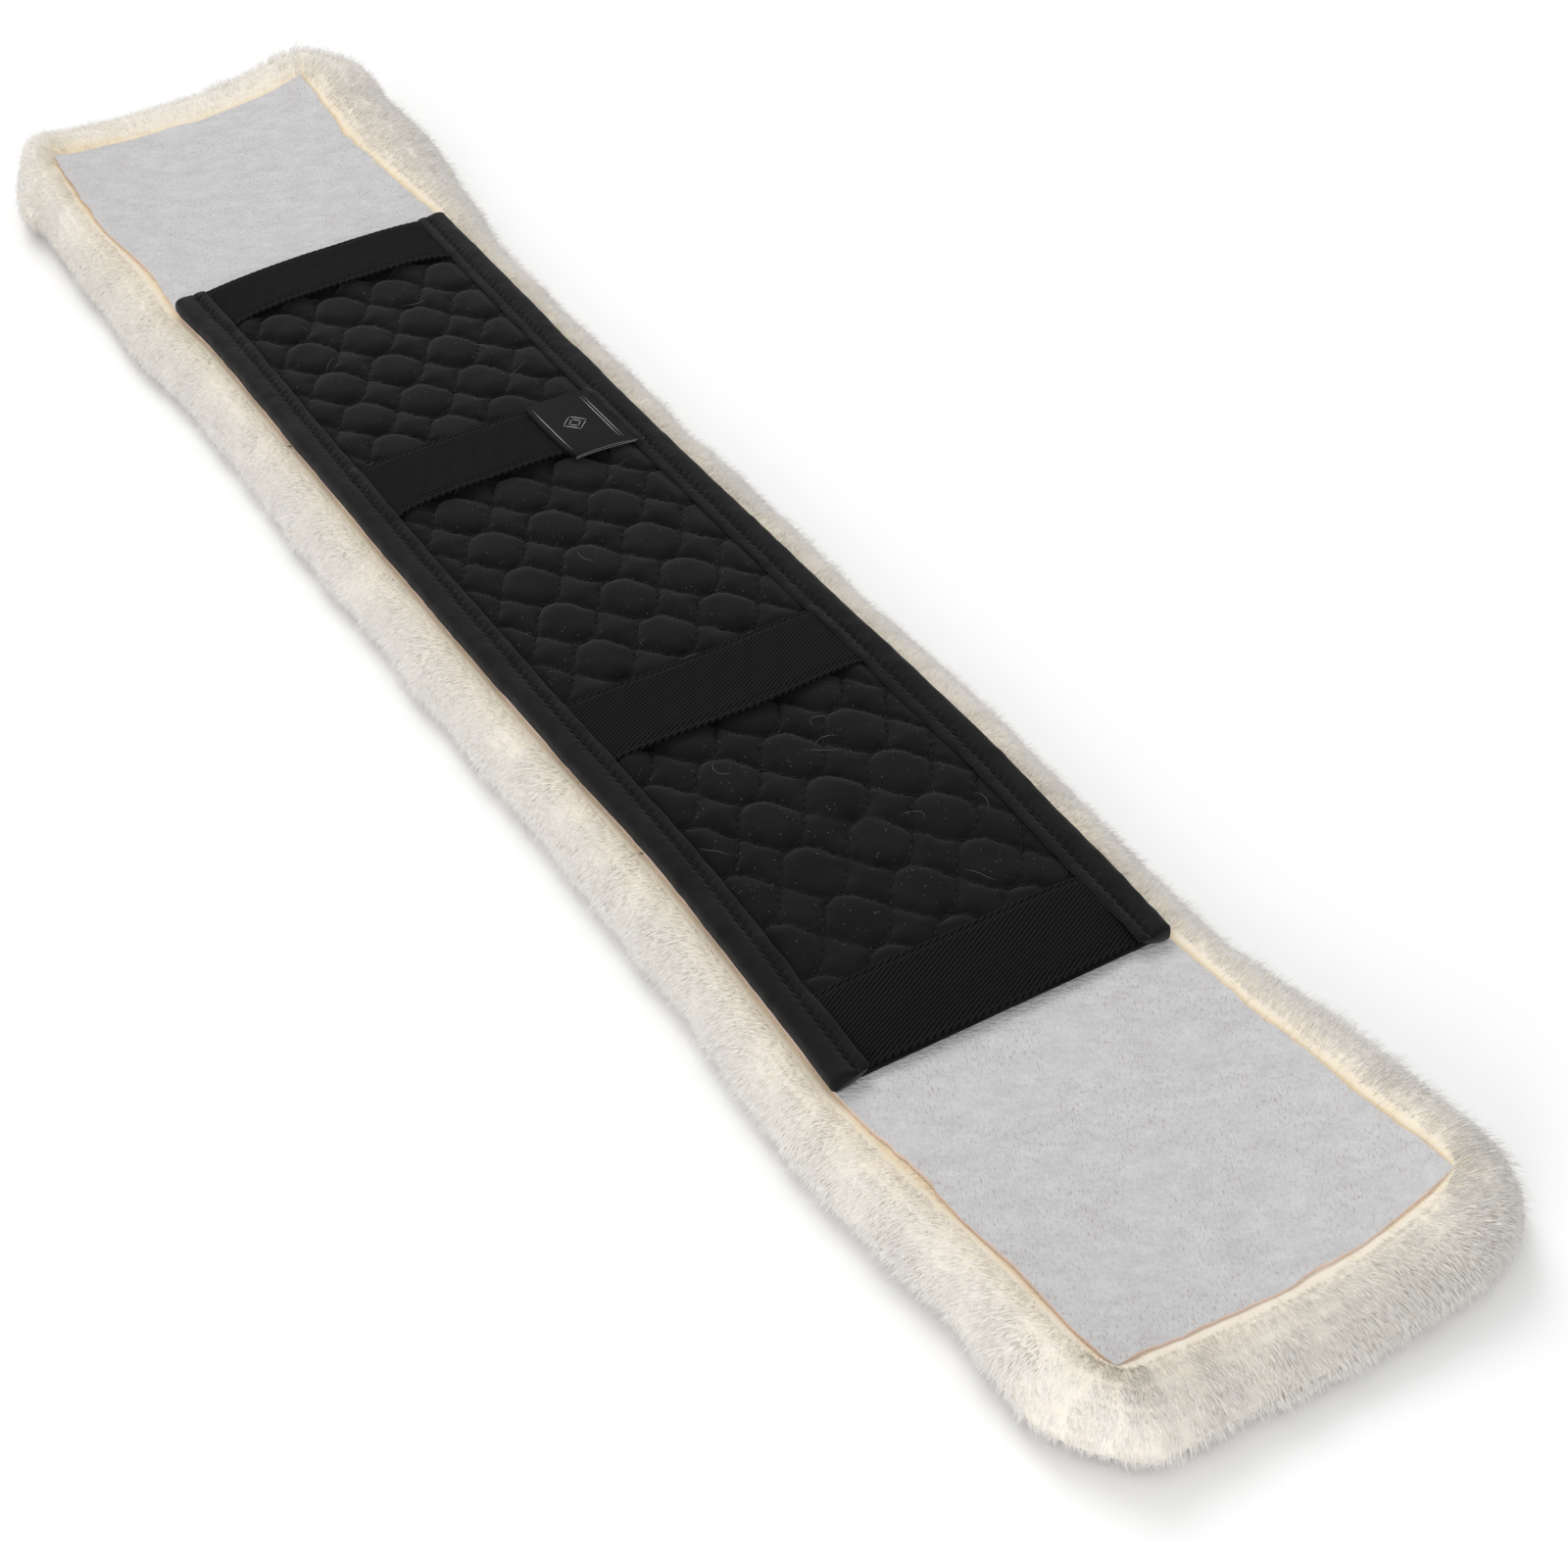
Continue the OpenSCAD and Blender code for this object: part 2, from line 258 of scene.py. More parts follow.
def add(mat, kind, inputs=None, **settings):
    """Adds a shader node; inputs are default values or sockets to link from."""
    node = mat.node_tree.nodes.new(kind)
    for key, value in settings.items():
        setattr(node, key, value)
    for key, value in (inputs or {}).items():
        if isinstance(value, bpy.types.NodeSocket):
            mat.node_tree.links.new(value, node.inputs[key])
        else:
            node.inputs[key].default_value = value
    return node


def link(mat, socket, name):
    """Links a socket to the named input of the material's shader."""
    mat.node_tree.links.new(socket, mat.node_tree.nodes["Principled BSDF"].inputs[name])


def lay_mm(mat, turn=0.0):
    """The flat place on the cloth in mm, turned by that many degrees."""
    lay = add(mat, "ShaderNodeUVMap", uv_map="lay")
    turned = (0, 0, math.radians(turn))
    scaled = {"Vector": lay.outputs["UV"], "Scale": (1 / MM, 1 / MM, 1), "Rotation": turned}
    return add(mat, "ShaderNodeMapping", scaled).outputs["Vector"]


def ribs(mat, pitch, turn):
    """Height of parallel ribs at that pitch in mm; a wave texture at scale 1 has a pitch of 0.314."""
    made = {"Vector": lay_mm(mat, turn), "Scale": 0.314 / pitch, "Distortion": 0.4}
    made["Detail Scale"] = 2.0
    return add(mat, "ShaderNodeTexWave", made, wave_type="BANDS").outputs["Fac"]


def grain(mat, size, detail=3.0, turn=0.0, stretch=1.0, rough=0.5):
    """Cloudy noise with features of about that size in mm."""
    place = lay_mm(mat, turn)
    if stretch != 1.0:
        pulled = {"Vector": place, "Scale": (1 / stretch, 1, 1)}
        place = add(mat, "ShaderNodeMapping", pulled).outputs["Vector"]
    made = {"Vector": place, "Scale": 1 / size, "Detail": detail, "Roughness": rough}
    return add(mat, "ShaderNodeTexNoise", made).outputs["Fac"]


def between(mat, fac, stops):
    """Colour ramp over a value."""
    node = add(mat, "ShaderNodeValToRGB", {"Fac": fac})
    marks = node.color_ramp.elements
    while len(marks) < len(stops):
        marks.new(0.5)
    for mark, (place, colour) in zip(marks, stops):
        mark.position = place
        mark.color = (*colour, 1)
    return node.outputs["Color"]


def bumped(mat, layers):
    """Stacks bumps: (height socket, strength, depth in mm)."""
    normal = None
    for height, strength, depth in layers:
        made = {"Height": height, "Strength": strength, "Distance": depth * MM}
        if normal is not None:
            made["Normal"] = normal
        normal = add(mat, "ShaderNodeBump", made).outputs["Normal"]
    link(mat, normal, "Normal")


def cloth_paint(name, dark, light, pitch, turn, specular, sheen):
    """Woven black cloth: slightly uneven colour and a fine twill."""
    mat = paint(name, dark, 0.88, specular, sheen)
    link(mat, between(mat, grain(mat, 14), [(0.3, dark), (0.75, light)]), "Base Color")
    twill, threads, slubs = ribs(mat, pitch, turn), grain(mat, 0.5, 2), grain(mat, 2.2, 3)
    bumped(mat, [(twill, 0.5, 0.12), (threads, 0.35, 0.1), (slubs, 0.35, 0.3)])
    return mat


QUILT_BLACK = cloth_paint("quilt_cotton", (0.0035,) * 3, (0.0075,) * 3, 0.85, 28, 0.05, 0.10)
BIND_BLACK = cloth_paint("binding_cotton", (0.005,) * 3, (0.009,) * 3, 0.7, 62, 0.06, 0.11)


def elastic_paint(name, groove, ridge):
    """Rib weave of the elastic, with a painted highlight on the ridges and painted shade in the
    grooves that the band's own relief makes.
    """
    mat = paint(name, ridge, 0.85, specular=0.06, sheen=0.04)
    across = tuple(RIB_WAY * math.pi / RIB_PITCH) + (0,)
    phase = add(mat, "ShaderNodeVectorMath", {0: lay_mm(mat), 1: across}, operation="DOT_PRODUCT")
    wave = add(mat, "ShaderNodeMath", {0: phase.outputs["Value"]}, operation="SINE")
    ridges = add(mat, "ShaderNodeMath", {0: wave.outputs[0]}, operation="ABSOLUTE")
    # painted shade and highlight: the grooves are painted near black and the ridges lighter, along
    # the ribs of the relief
    link(mat, between(mat, ridges.outputs[0], [(0.3, groove), (0.97, ridge)]), "Base Color")
    bumped(mat, [(ribs(mat, 0.55, 100), 0.5, 0.12), (grain(mat, 0.5, 2), 0.3, 0.1)])
    return mat


RIB_PITCH = 1.3
RIB_WAY = np.array([math.sin(math.radians(27)), -math.cos(math.radians(27))])
# the first colour is painted shade for the grooves, the second a painted highlight for the ridges
ELASTIC_BLACK = elastic_paint("elastic_webbing", (0.0004,) * 3, (0.0105,) * 3)
THREAD_BLACK = paint("thread_black", (0.006,) * 3, 0.6, specular=0.12, sheen=0.03)
LABEL_BLACK = paint("label_satin", (0.0035,) * 3, 0.6, specular=0.07, sheen=0.02)
LABEL_EDGE = paint("label_cut_edge", (0.16, 0.16, 0.17), 0.7)
LABEL_MARK = paint("label_woven_mark", (0.36, 0.36, 0.38), 0.6)
LINT = paint("lint", (0.16, 0.155, 0.15), 0.9)


def suede_paint(name, light, dark, fleck):
    """Nappy flesh side of the hide: faint clouds, small brown-grey flecks and a fine nap."""
    mat = paint(name, light, 0.93, specular=0.15, sheen=0.1)
    clouds = between(mat, grain(mat, 7, 5, 20, 1.6, rough=0.85), [(0.36, dark), (0.64, light)])
    spots = between(mat, grain(mat, 0.55, 2.0, -62, 4.0), [(0.56, (0, 0, 0)), (0.68, (1, 1, 1))])
    where = between(mat, grain(mat, 24, 2), [(0.34, (0.3, 0.3, 0.3)), (0.56, (1, 1, 1))])
    amount = add(mat, "ShaderNodeMath", {0: spots, 1: where}, operation="MULTIPLY")
    soft = add(mat, "ShaderNodeMath", {0: amount.outputs[0], 1: 0.6}, operation="MULTIPLY")
    # among the mix node's sockets, 0 is the factor, 6 and 7 are the colours, and 2 is the colour out
    mixed = {0: soft.outputs[0], 6: clouds, 7: (*fleck, 1)}
    mix = add(mat, "ShaderNodeMix", mixed, data_type="RGBA")
    link(mat, mix.outputs[2], "Base Color")
    fine, coarse, waves = grain(mat, 1.1, 5, 20, 1.8), grain(mat, 3.5, 3, 60, 2.0), grain(mat, 11, 2)
    bumped(mat, [(fine, 1.0, 0.7), (coarse, 0.6, 0.8), (waves, 0.2, 0.8)])
    return mat


SUEDE = suede_paint("suede", (0.583, 0.578, 0.581), (0.49, 0.482, 0.481), (0.32, 0.25, 0.23))
CUT_EDGE = paint("hide_cut_edge", (0.74, 0.60, 0.54), 0.9, specular=0.15)

WOOL_COLOURS = [
    (0.975, 0.85, 0.64),
    (0.975, 0.88, 0.715),
    (0.975, 0.905, 0.785),
    (0.98, 0.93, 0.845),
    (0.985, 0.955, 0.91),
]
WOOL_TONES = [
    paint(f"wool_tone_{k}", colour, 0.95, specular=0.08, sheen=0.3)
    for k, colour in enumerate(WOOL_COLOURS)
]


def felt_paint(name, colour):
    """Dense wool between the fibres."""
    mat = paint(name, colour, 0.97, specular=0.05, sheen=0.2)
    darker = tuple(c * k for c, k in zip(colour, (0.97, 0.95, 0.91)))
    link(mat, between(mat, grain(mat, 6, 4), [(0.35, darker), (0.7, colour)]), "Base Color")
    bumped(mat, [(grain(mat, 0.7, 3, 0, 2.5), 0.5, 0.5), (grain(mat, 3, 2), 0.3, 0.9)])
    return mat


# painted shade: the dense wool gets 0.82 of the fibres' colours, darker, standing in for the shade
# that falls among the fibres
WOOL_FELTS = [
    felt_paint(f"wool_felt_{k}", tuple(0.82 * c for c in colour))
    for k, colour in enumerate(WOOL_COLOURS[:4])
]


def dressed(obj, slot, *materials):
    """Gives a piece its materials; the slot is not used."""
    for mat in materials:
        obj.data.materials.append(mat)
    return obj


# ---------------- the function each length is passed to, and what it stands for
def bend_at():
    """A function that bakes a piece's placement into its mesh."""
    return lambda obj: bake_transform(obj)


bend_far = bend_at()
bend_panel = bend_at()
bend_near = bend_at()
# each length of hide and wool: its name, where it begins and ends, its bend and its CAD bodies
LENGTHS = [
    ("far", CUT_FAR, np.inf, bend_far, ["far_flap"]),
    ("mid", CUT_NEAR, CUT_FAR, bend_panel, ["panel_far", "panel_near"]),
    ("near", -np.inf, CUT_NEAR, bend_near, ["near_flap"]),
]
HALVES = ("far", "near")


def stands_for(piece, stem, ends):
    """Names the CAD nodes, stem and end joined, that a piece replaces."""
    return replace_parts(piece, *[f"{stem}_{end}" for end in ends])


# ---------------- hide
CORNER_NEAR = HIDE_NEAR + 5.0  # where the near end's corners would be without its bow


def bowed(x, y):
    """Bows the near end out, most at its left corner, and cuts the far left corner shorter."""
    left = np.clip(-x / HALF, 0, 1) ** 5 * (1 - ramp(-x, HALF + 1, HALF + 20))
    near = NEAR_BOW * (1 - np.clip(np.abs(x) / HALF, 0, 1) ** 2) + 5.0 * left
    near = near * np.clip((-340 - y) / 50, 0, 1)
    far = 8.0 * np.clip(-x / HALF, 0, 1.2) ** 1.8 * np.clip((y - 320) / 75, 0, 1)
    return y - near - far


def hide_edge(y, side):
    """Half width of the hide there; the cut wanders a little, more on the bare flaps."""
    bare = np.clip(np.maximum(y - PANEL_FAR, PANEL_NEAR - y) / 15, 0, 1)
    nick = 1.6 * hump(y, PANEL_NEAR - 34, 20) * (side < 0)
    return HALF - 0.3 + (0.9 * noise(y, side, 13, 1) + 0.5 * noise(y, side, 4, 2)) * bare - nick


def hide_piece(name, low, high, bend, bodies):
    y0, y1 = max(low, CORNER_NEAR), min(high, HIDE_FAR)
    across = np.linspace(-1, 1, 63)
    along = np.linspace(y0, y1, int((y1 - y0) / 1.8) + 1)
    s, y = np.meshgrid(across, along)
    x = s * np.where(s < 0, hide_edge(y, -1.0), hide_edge(y, 1.0))
    ragged = 0.8 * noise(x, y * 0, 12, 4) + 0.4 * noise(x, y * 0, 3.5, 5)
    near_end = np.clip((CORNER_NEAR + 12 - y) / 12, 0, 1)
    ends = np.clip((y - HIDE_FAR + 12) / 12, 0, 1) - near_end
    y = bowed(x, y) + ragged * ends
    nap = 0.12 * noise(x, y, 7, 6)
    top = np.stack([x, y, HIDE_TOP + nap], -1)
    bottom = np.stack([x, y, np.full_like(x, HIDE_LOW)], -1)
    points, faces, slots = slab(top, bottom)
    hide = build(f"hide_{name}", points, faces, slots=slots)
    facing_out(dressed(hide, "suede", SUEDE, CUT_EDGE), 50)
    bend(hide)
    stands_for(hide, "leather", bodies)


for length in LENGTHS:
    hide_piece(*length)


# ---------------- wool
WOOL_MID = 10.0  # the wool is palest below this height
TIP = 1.9  # how far the fibres stand out past the dense wool
CORNER_R = 9.0
FLOOR_GAP = 0.3  # no fibre comes nearer to the floor
# the dense wool seen end on: share of its reach past the hide's edge, and height
WOOL_SECTION = np.array([
    (-0.50, 19.7), (-0.16, 19.7), (-0.01, 19.9), (0.06, 20.7), (0.18, 21.5), (0.36, 21.6),
    (0.56, 20.3), (0.73, 17.8), (0.87, 14.0), (0.96, 10.4), (1.00, 7.4), (0.96, 4.8),
    (0.84, 3.1), (0.62, 2.3), (0.25, 2.1), (-0.30, 2.1),
])


def spread(x, y):
    """How far the wool's tips stand out past the hide's edge: more on the right, but the same at
    both corners of an end."""
    right = ramp(x, -40, 40)
    far = ramp(y, 225, 320) * (6.0 + 5.0 * right * ramp(HIDE_FAR - y, 0, 55))
    near = ramp(-y, 270, 340) * (4.5 + (9.0 * right - 5.0) * ramp(y - HIDE_NEAR, 0, 55))
    end = 9.5 * ramp(y, HIDE_FAR - 20, HIDE_FAR) + 1.5 * ramp(-y, -HIDE_NEAR - 16, -HIDE_NEAR)
    return 18.5 + far + near + end + 1.2 * noise(x, y, 34, 7) + 0.7 * noise(x, y, 12, 8)


def smoothed(line, times, closed=False):
    """Cuts the corners of a line of points, open or closed."""
    for _ in range(times):
        here, after = (line, np.roll(line, -1, 0)) if closed else (line[:-1], line[1:])
        cut = np.stack([here * 0.75 + after * 0.25, here * 0.25 + after * 0.75], 1).reshape(-1, 2)
        line = cut if closed else np.vstack([line[:1], cut, line[-1:]])
    return line


SECTION = smoothed(WOOL_SECTION, 2)
SECTION_AT = np.cumsum(np.hypot(*(np.diff(SECTION, axis=0, prepend=SECTION[:1]) * (14.0, 1.0)).T))
SECTION_AT /= SECTION_AT[-1]


def section_point(t, reach):
    """Distance past the hide's edge and height of the dense wool's surface, its way along the
    section and its outward normal."""
    here, after, before = (
        [np.interp(t + step, SECTION_AT, column) for column in SECTION.T] for step in (0, 0.02, -0.02)
    )
    along = unit(np.stack([(after[0] - before[0]) * reach, after[1] - before[1]], -1))
    return here[0] * reach, here[1], along, np.stack([-along[..., 1], along[..., 0]], -1)


def side_section(side, y, past):
    """Half of the dense wool's outline across the hide: distance from the middle line and height,
    from the top round to the bottom. past is how far y is beyond the rounded corners' middle."""
    if past <= 0:
        e, z, _, _ = section_point(np.linspace(0, 1, 44), spread(side * HALF, y) - TIP)
        return HALF + e, z
    t = np.linspace(0, 1, 600)
    angle = np.full_like(t, 0.5)
    for _ in range(4):
        edge_y = y - past + np.sign(y) * CORNER_R * np.sin(angle) + past * (np.sign(y) < 0)
        e, z, _, _ = section_point(t, spread(side * HALF, edge_y) - TIP)
        angle = np.arcsin(np.clip(past / np.maximum(CORNER_R + e, 0.1), 0, 1))
    kept = np.flatnonzero(CORNER_R + e >= past)
    if len(kept) < 2:
        kept = np.array([np.argmax(e), np.argmax(e) + 1])
    at = np.linspace(kept[0], kept[-1], 44)
    e, z = np.interp(at, np.arange(600), e), np.interp(at, np.arange(600), z)
    return HALF - CORNER_R + np.sqrt(np.maximum((CORNER_R + e) ** 2 - past**2, 0)), z


def wool_body(name, low, high, bend, bodies):
    """The dense wool: closed loops across the length, rounded off round the corners of the hide."""
    middle_far, middle_near = HIDE_FAR - CORNER_R, CORNER_NEAR + CORNER_R
    y0 = max(low, CORNER_NEAR - spread(0.0, CORNER_NEAR) + TIP + 0.4)
    y1 = min(high, HIDE_FAR + spread(0.0, HIDE_FAR) - TIP - 0.4)
    share = np.linspace(0, 1, int((y1 - y0) / 1.7) + 1)
    if y1 > HIDE_FAR:
        share = 1 - (1 - share) ** 1.25
    if y0 < CORNER_NEAR:
        share = share**1.25
    across = np.linspace(-1, 1, 18)[1:-1]
    loops = []
    for y in y0 + (y1 - y0) * share:
        past = max(y - middle_far, middle_near - y)
        sides = []
        for side in (1, -1):
            x, z = side_section(side, y, past)
            out = np.clip((np.maximum(x - HALF, past - CORNER_R)) / 4, 0, 1)
            place = z * 1.5 + 40 * side
            lump = 0.6 * noise(y, place, 12, 9) + 0.15 * noise(y, place, 3.5, 10)
            x, z = x + lump * out, z + 0.4 * lump * out
            sides.append(np.stack([side * x, np.full_like(x, y), z], 1))
        right, left = sides
        under = right[-1] + (left[-1] - right[-1]) * ((across[:, None] + 1) / 2)
        over = left[0] + (right[0] - left[0]) * ((across[:, None] + 1) / 2)
        loops.append(np.vstack([right, under, left[::-1], over]))
    loops = np.array(loops)
    loops[..., 1] = bowed(loops[..., 0], loops[..., 1])
    loops[..., 2] = np.maximum(loops[..., 2], 0.5)
    points, walls, caps = loft(loops)
    # low middles keep the closed ends inside the outline, which dips beside the hide
    points[-2:, 2] = 0.8 * loops[[0, -1], :, 2].min(1) + 0.2 * loops[[0, -1], :, 2].max(1)
    middle = points[walls].mean(1)
    past_end = np.maximum(middle[:, 1] - HIDE_FAR, CORNER_NEAR - middle[:, 1])
    out = np.maximum(np.abs(middle[:, 0]) - HALF, past_end)
    tone = np.where(middle[:, 2] < WOOL_MID, 3, np.digitize(out, [1.2, 3.5, 8.0]))
    slots = np.concatenate([tone, np.full(len(caps), 3)])
    lay = np.stack([points[:, 0] + np.sign(points[:, 0]) * (20 - points[:, 2]), points[:, 1]], 1)
    body = build(f"wool_{name}", points, [walls, caps], lay=lay, slots=slots)
    facing_out(dressed(body, "wool", *WOOL_FELTS))
    bend(body)
    stands_for(body, "wool", bodies)


for length in LENGTHS:
    wool_body(*length)


def wool_outline():
    """Points and outward directions every half millimetre round the hide, with rounded corners."""
    half, top, low = HALF - CORNER_R, HIDE_FAR - CORNER_R, CORNER_NEAR + CORNER_R
    arc = np.linspace(0, np.pi / 2, 29)
    places, outs = [], []
    for k, middle in enumerate(((half, top), (-half, top), (-half, low), (half, low))):
        angle = arc + k * np.pi / 2
        outs.append(np.stack([np.cos(angle), np.sin(angle)], 1))
        places.append(middle + outs[-1] * CORNER_R)
    places, outs = (np.vstack([*each, each[0][:1]]) for each in (places, outs))
    length = np.concatenate([[0], np.cumsum(np.linalg.norm(np.diff(places, axis=0), axis=1))])
    at = np.arange(0, length[-1], 0.5)
    return at, [np.interp(at, length, a) for a in (*places.T, *outs.T)]


def spindles(roots, middles, tips, width):
    """Closed bent fibres: a root point, a triangle part way and a tip."""
    along = unit(tips - roots)
    across = unit(np.cross(along, unit(rng.normal(size=roots.shape))))
    up = np.cross(along, across)
    turns = np.radians([0, 120, 240])
    ring = [middles + (across * math.cos(a) + up * math.sin(a)) * width[:, None] for a in turns]
    points = np.stack([roots, *ring, tips], 1)
    pattern = np.array([[0, 2, 1], [0, 3, 2], [0, 1, 3], [1, 2, 4], [2, 3, 4], [3, 1, 4]])
    faces = pattern[None] + (np.arange(len(roots)) * 5)[:, None, None]
    return points, faces


def fleece(y, sides, points, faces, tones):
    """The fibres as one piece for each length of hide and each side, by where they are rooted."""
    for region, low, high, bend, _ in LENGTHS:
        for side, chosen in sides.items():
            kept = np.flatnonzero(chosen & (y >= low) & (y < high))
            placed = points[kept].reshape(-1, 3)
            placed[:, 1] = bowed(placed[:, 0], placed[:, 1])
            placed = drape(placed)
            placed[:, 2] = np.maximum(placed[:, 2], FLOOR_GAP)
            made = {"lay": placed[:, :2], "slots": tones[kept].reshape(-1), "draped": False}
            part = faces[: len(kept)].reshape(-1, 3)
            piece = build(f"fleece_{region}_{side}", placed, [part], **made)
            bend(dressed(piece, "wool", *WOOL_TONES))


def tone_of(out, light):
    """Wool deepens to gold next to the hide's edge and pales to white at the tips."""
    level = np.interp(out, [-3, 0.5, 2.5, 7, 16], [0, 0.8, 2.0, 3.0, 4.0]) + light
    return np.clip(np.round(level + rng.uniform(-0.5, 0.5, out.shape)), 0, 4).astype(int)


FIBRES = 250000
FIBRE_WIDTH = 0.11
FIBRE_LENGTH = 5.6
LOCK = 3.4  # how wide the locks are that the fibres' tips gather in
WISPS, WISP_LENGTH = 0.13, 1.6  # the share of stray fibres, and how much longer they are


def edge_fleece():
    """The ring of wool that shows all round the hide."""
    at, (px, py, nx, ny) = wool_outline()
    # more fibres grow where they fan out round the corners
    crowd = np.cumsum(np.where(np.abs(nx * ny) > 0.01, 1 + 19 / CORNER_R, 1.0))
    s = np.interp(rng.uniform(size=FIBRES), crowd / crowd[-1], at)
    t = 0.01 + 0.84 * rng.beta(0.92, 1.15, FIBRES)
    x, y, u, v = (np.interp(s, at, a) for a in (px, py, nx, ny))
    out2 = unit(np.stack([u, v], 1))
    e, z, along, away = section_point(t, spread(x, y) - TIP)
    depth = 0.8 + 0.4 * rng.uniform(size=FIBRES)
    e, z = e - away[:, 0] * depth, z - away[:, 1] * depth
    roots = np.concatenate([np.stack([x, y], 1) + out2 * e[:, None], z[:, None]], 1)
    # the way the fibres point turns more gently round the corners than the hide's edge does
    turned = [
        np.interp(s, at, np.convolve(np.concatenate([a[-40:], a, a[:40]]), np.ones(81) / 81, "valid"))
        for a in (nx, ny)
    ]
    out2 = unit(np.stack(turned, 1))
    side2 = np.stack([-out2[:, 1], out2[:, 0]], 1)
    around = t * 40
    length = FIBRE_LENGTH * (1 + 0.15 * noise(s, around, 9, 13) + rng.normal(0, 0.12, FIBRES))
    wisp = rng.uniform(size=FIBRES) < WISPS
    length = length * np.where(wisp, WISP_LENGTH, 1.0)
    steep = np.sin(np.pi * np.clip(t / 0.85, 0, 1))
    lean = 1.0 - 0.30 * steep + 0.08 * rng.normal(size=FIBRES) + 0.07 * noise(s, around, 14, 16)
    stand = 0.185 + 0.16 * steep + 0.03 * rng.normal(size=FIBRES)
    stand = stand + (0.10 + 0.40 * ramp(t, 0.2, 0.5)) * wisp
    plane = along * lean[:, None] + away * stand[:, None] + np.array([0.12, 0.0])
    yaw = 0.24 * noise(s, around, 24, 14) + 0.10 * noise(s, around, 7, 15)
    yaw = yaw + rng.normal(0, 0.12, FIBRES)
    flat = (out2 * np.cos(yaw)[:, None] + side2 * np.sin(yaw)[:, None]) * plane[:, :1]
    flat = flat + side2 * (np.sin(yaw) * np.abs(plane[:, 1]))[:, None]
    direction = unit(np.concatenate([flat, plane[:, 1:]], 1))
    tips = roots + direction * length[:, None]
    # tufts: tips lean toward the middle of a small patch, so the outline breaks into locks
    cell_s, cell_t = np.floor(s / LOCK + 0.5 * noise(s, around, 6, 17)), np.floor(around / LOCK)
    _, index = np.unique((cell_s * 64 + cell_t).astype(int), return_inverse=True)
    count = np.bincount(index).astype(float)[:, None]
    mean_tip = np.stack([np.bincount(index, tips[:, k]) for k in range(3)], 1) / count
    pull = (0.15 + 0.13 * noise(s, around, 11, 18) + 0.28 * wisp)[:, None]
    tips = tips + (mean_tip[index] - tips) * pull
    middles = roots + (tips - roots) * 0.42 + rng.normal(0, 0.20, (FIBRES, 3))
    width = FIBRE_WIDTH * np.where(wisp, 0.75, 1.0)
    fibres = spindles(roots, middles, tips, width * rng.uniform(0.7, 1.3, FIBRES))
    # painted shade: the fibres' tones are darkened toward the far end; besides that they vary at
    # random and are a little paler toward the right
    light = rng.normal(0.0, 0.15, FIBRES) - 0.7 * ramp(y, 180, 330) + 0.3 * ramp(x, -30, 30)
    tones = np.stack([tone_of(e, light - 0.2), tone_of(e + 3, light + 0.2)], 1)
    fleece(y, {"left": x < 0, "right": x >= 0}, *fibres, np.repeat(tones, 3, axis=1))


def under_fleece():
    """The wool face that lies against the horse."""
    count = FIBRES // 3
    x = rng.uniform(-HALF - 8, HALF + 8, count)
    y = rng.uniform(CORNER_NEAR - 6, HIDE_FAR + 10, count)
    z = 3.2 + 0.5 * noise(x, y, 8, 19)
    heading = 2.2 * noise(x, y, 40, 20) + 1.0 * noise(x, y, 9, 21) + rng.normal(0, 0.4, count)
    direction = np.stack([np.cos(heading), np.sin(heading), rng.normal(-0.45, 0.12, count)], 1)
    roots = np.stack([x, y, z], 1)
    tips = roots + unit(direction) * rng.uniform(6, 9, count)[:, None]
    tips[:, 2] = np.maximum(tips[:, 2], rng.uniform(0.3, 1.5, count))
    middles = roots + (tips - roots) * 0.45 + rng.normal(0, 0.4, (count, 3))
    fibres = spindles(roots, middles, tips, FIBRE_WIDTH * 2 * rng.uniform(0.7, 1.3, count))
    tones = np.repeat(rng.integers(2, 5, (count, 2)), 3, axis=1)
    fleece(y, {"under": True}, *fibres, tones)


edge_fleece()
under_fleece()


# ---------------- quilted cloth
CELL_W, CELL_L = 24.7, 26.3
WAVE, POINT = 0.1, 0.032  # how far the stitch lines swing, and how pointed the large cells are
FIRST_CELL = (-8.0, 203.0)  # middle of one large cell
SKEW = 0.03  # the rows of cells run a little off the panel's length
SEAM_Z = QUILT_BASE - 0.6  # the cloth where the stitches pull it down
PUFF_LARGE, PUFF_SMALL = 2.8, 2.2
DASH_PITCH, DASH_SHARE = 3.7, 0.72  # the stitches along a line, and how much of it is thread


def seam(i, q):
    """Where stitch line i runs in its own family's direction, at q along it."""
    return i - WAVE * np.sin(np.pi * (q + i)) + POINT * np.sin(2 * np.pi * q)


def cell_place(u, v):
    """Flat place of a point given along the two families of stitch lines."""
    x, y = CELL_W * (u + v) / 2, CELL_L * (u - v) / 2 + FIRST_CELL[1]
    return x - CELL_W / 2 + FIRST_CELL[0] - SKEW * (y - FIRST_CELL[1]), y


def cell_share(x, y):
    """Which quilting cell a point is in and how far across it, both ways."""
    dy = y - FIRST_CELL[1]
    dx = x + CELL_W / 2 - FIRST_CELL[0] + SKEW * dy
    u, v = dx / CELL_W + dy / CELL_L, dx / CELL_W - dy / CELL_L

    def between_lines(p, q):
        i = np.floor(p)
        low, high = seam(i, q), seam(i + 1, q)
        i = np.where(p < low, i - 1, np.where(p >= high, i + 1, i))
        low, high = seam(i, q), seam(i + 1, q)
        return i, np.clip((p - low) / (high - low), 0, 1)

    i, a = between_lines(u, v)
    j, b = between_lines(v, u)
    return i, j, 16 * a * (1 - a) * b * (1 - b)


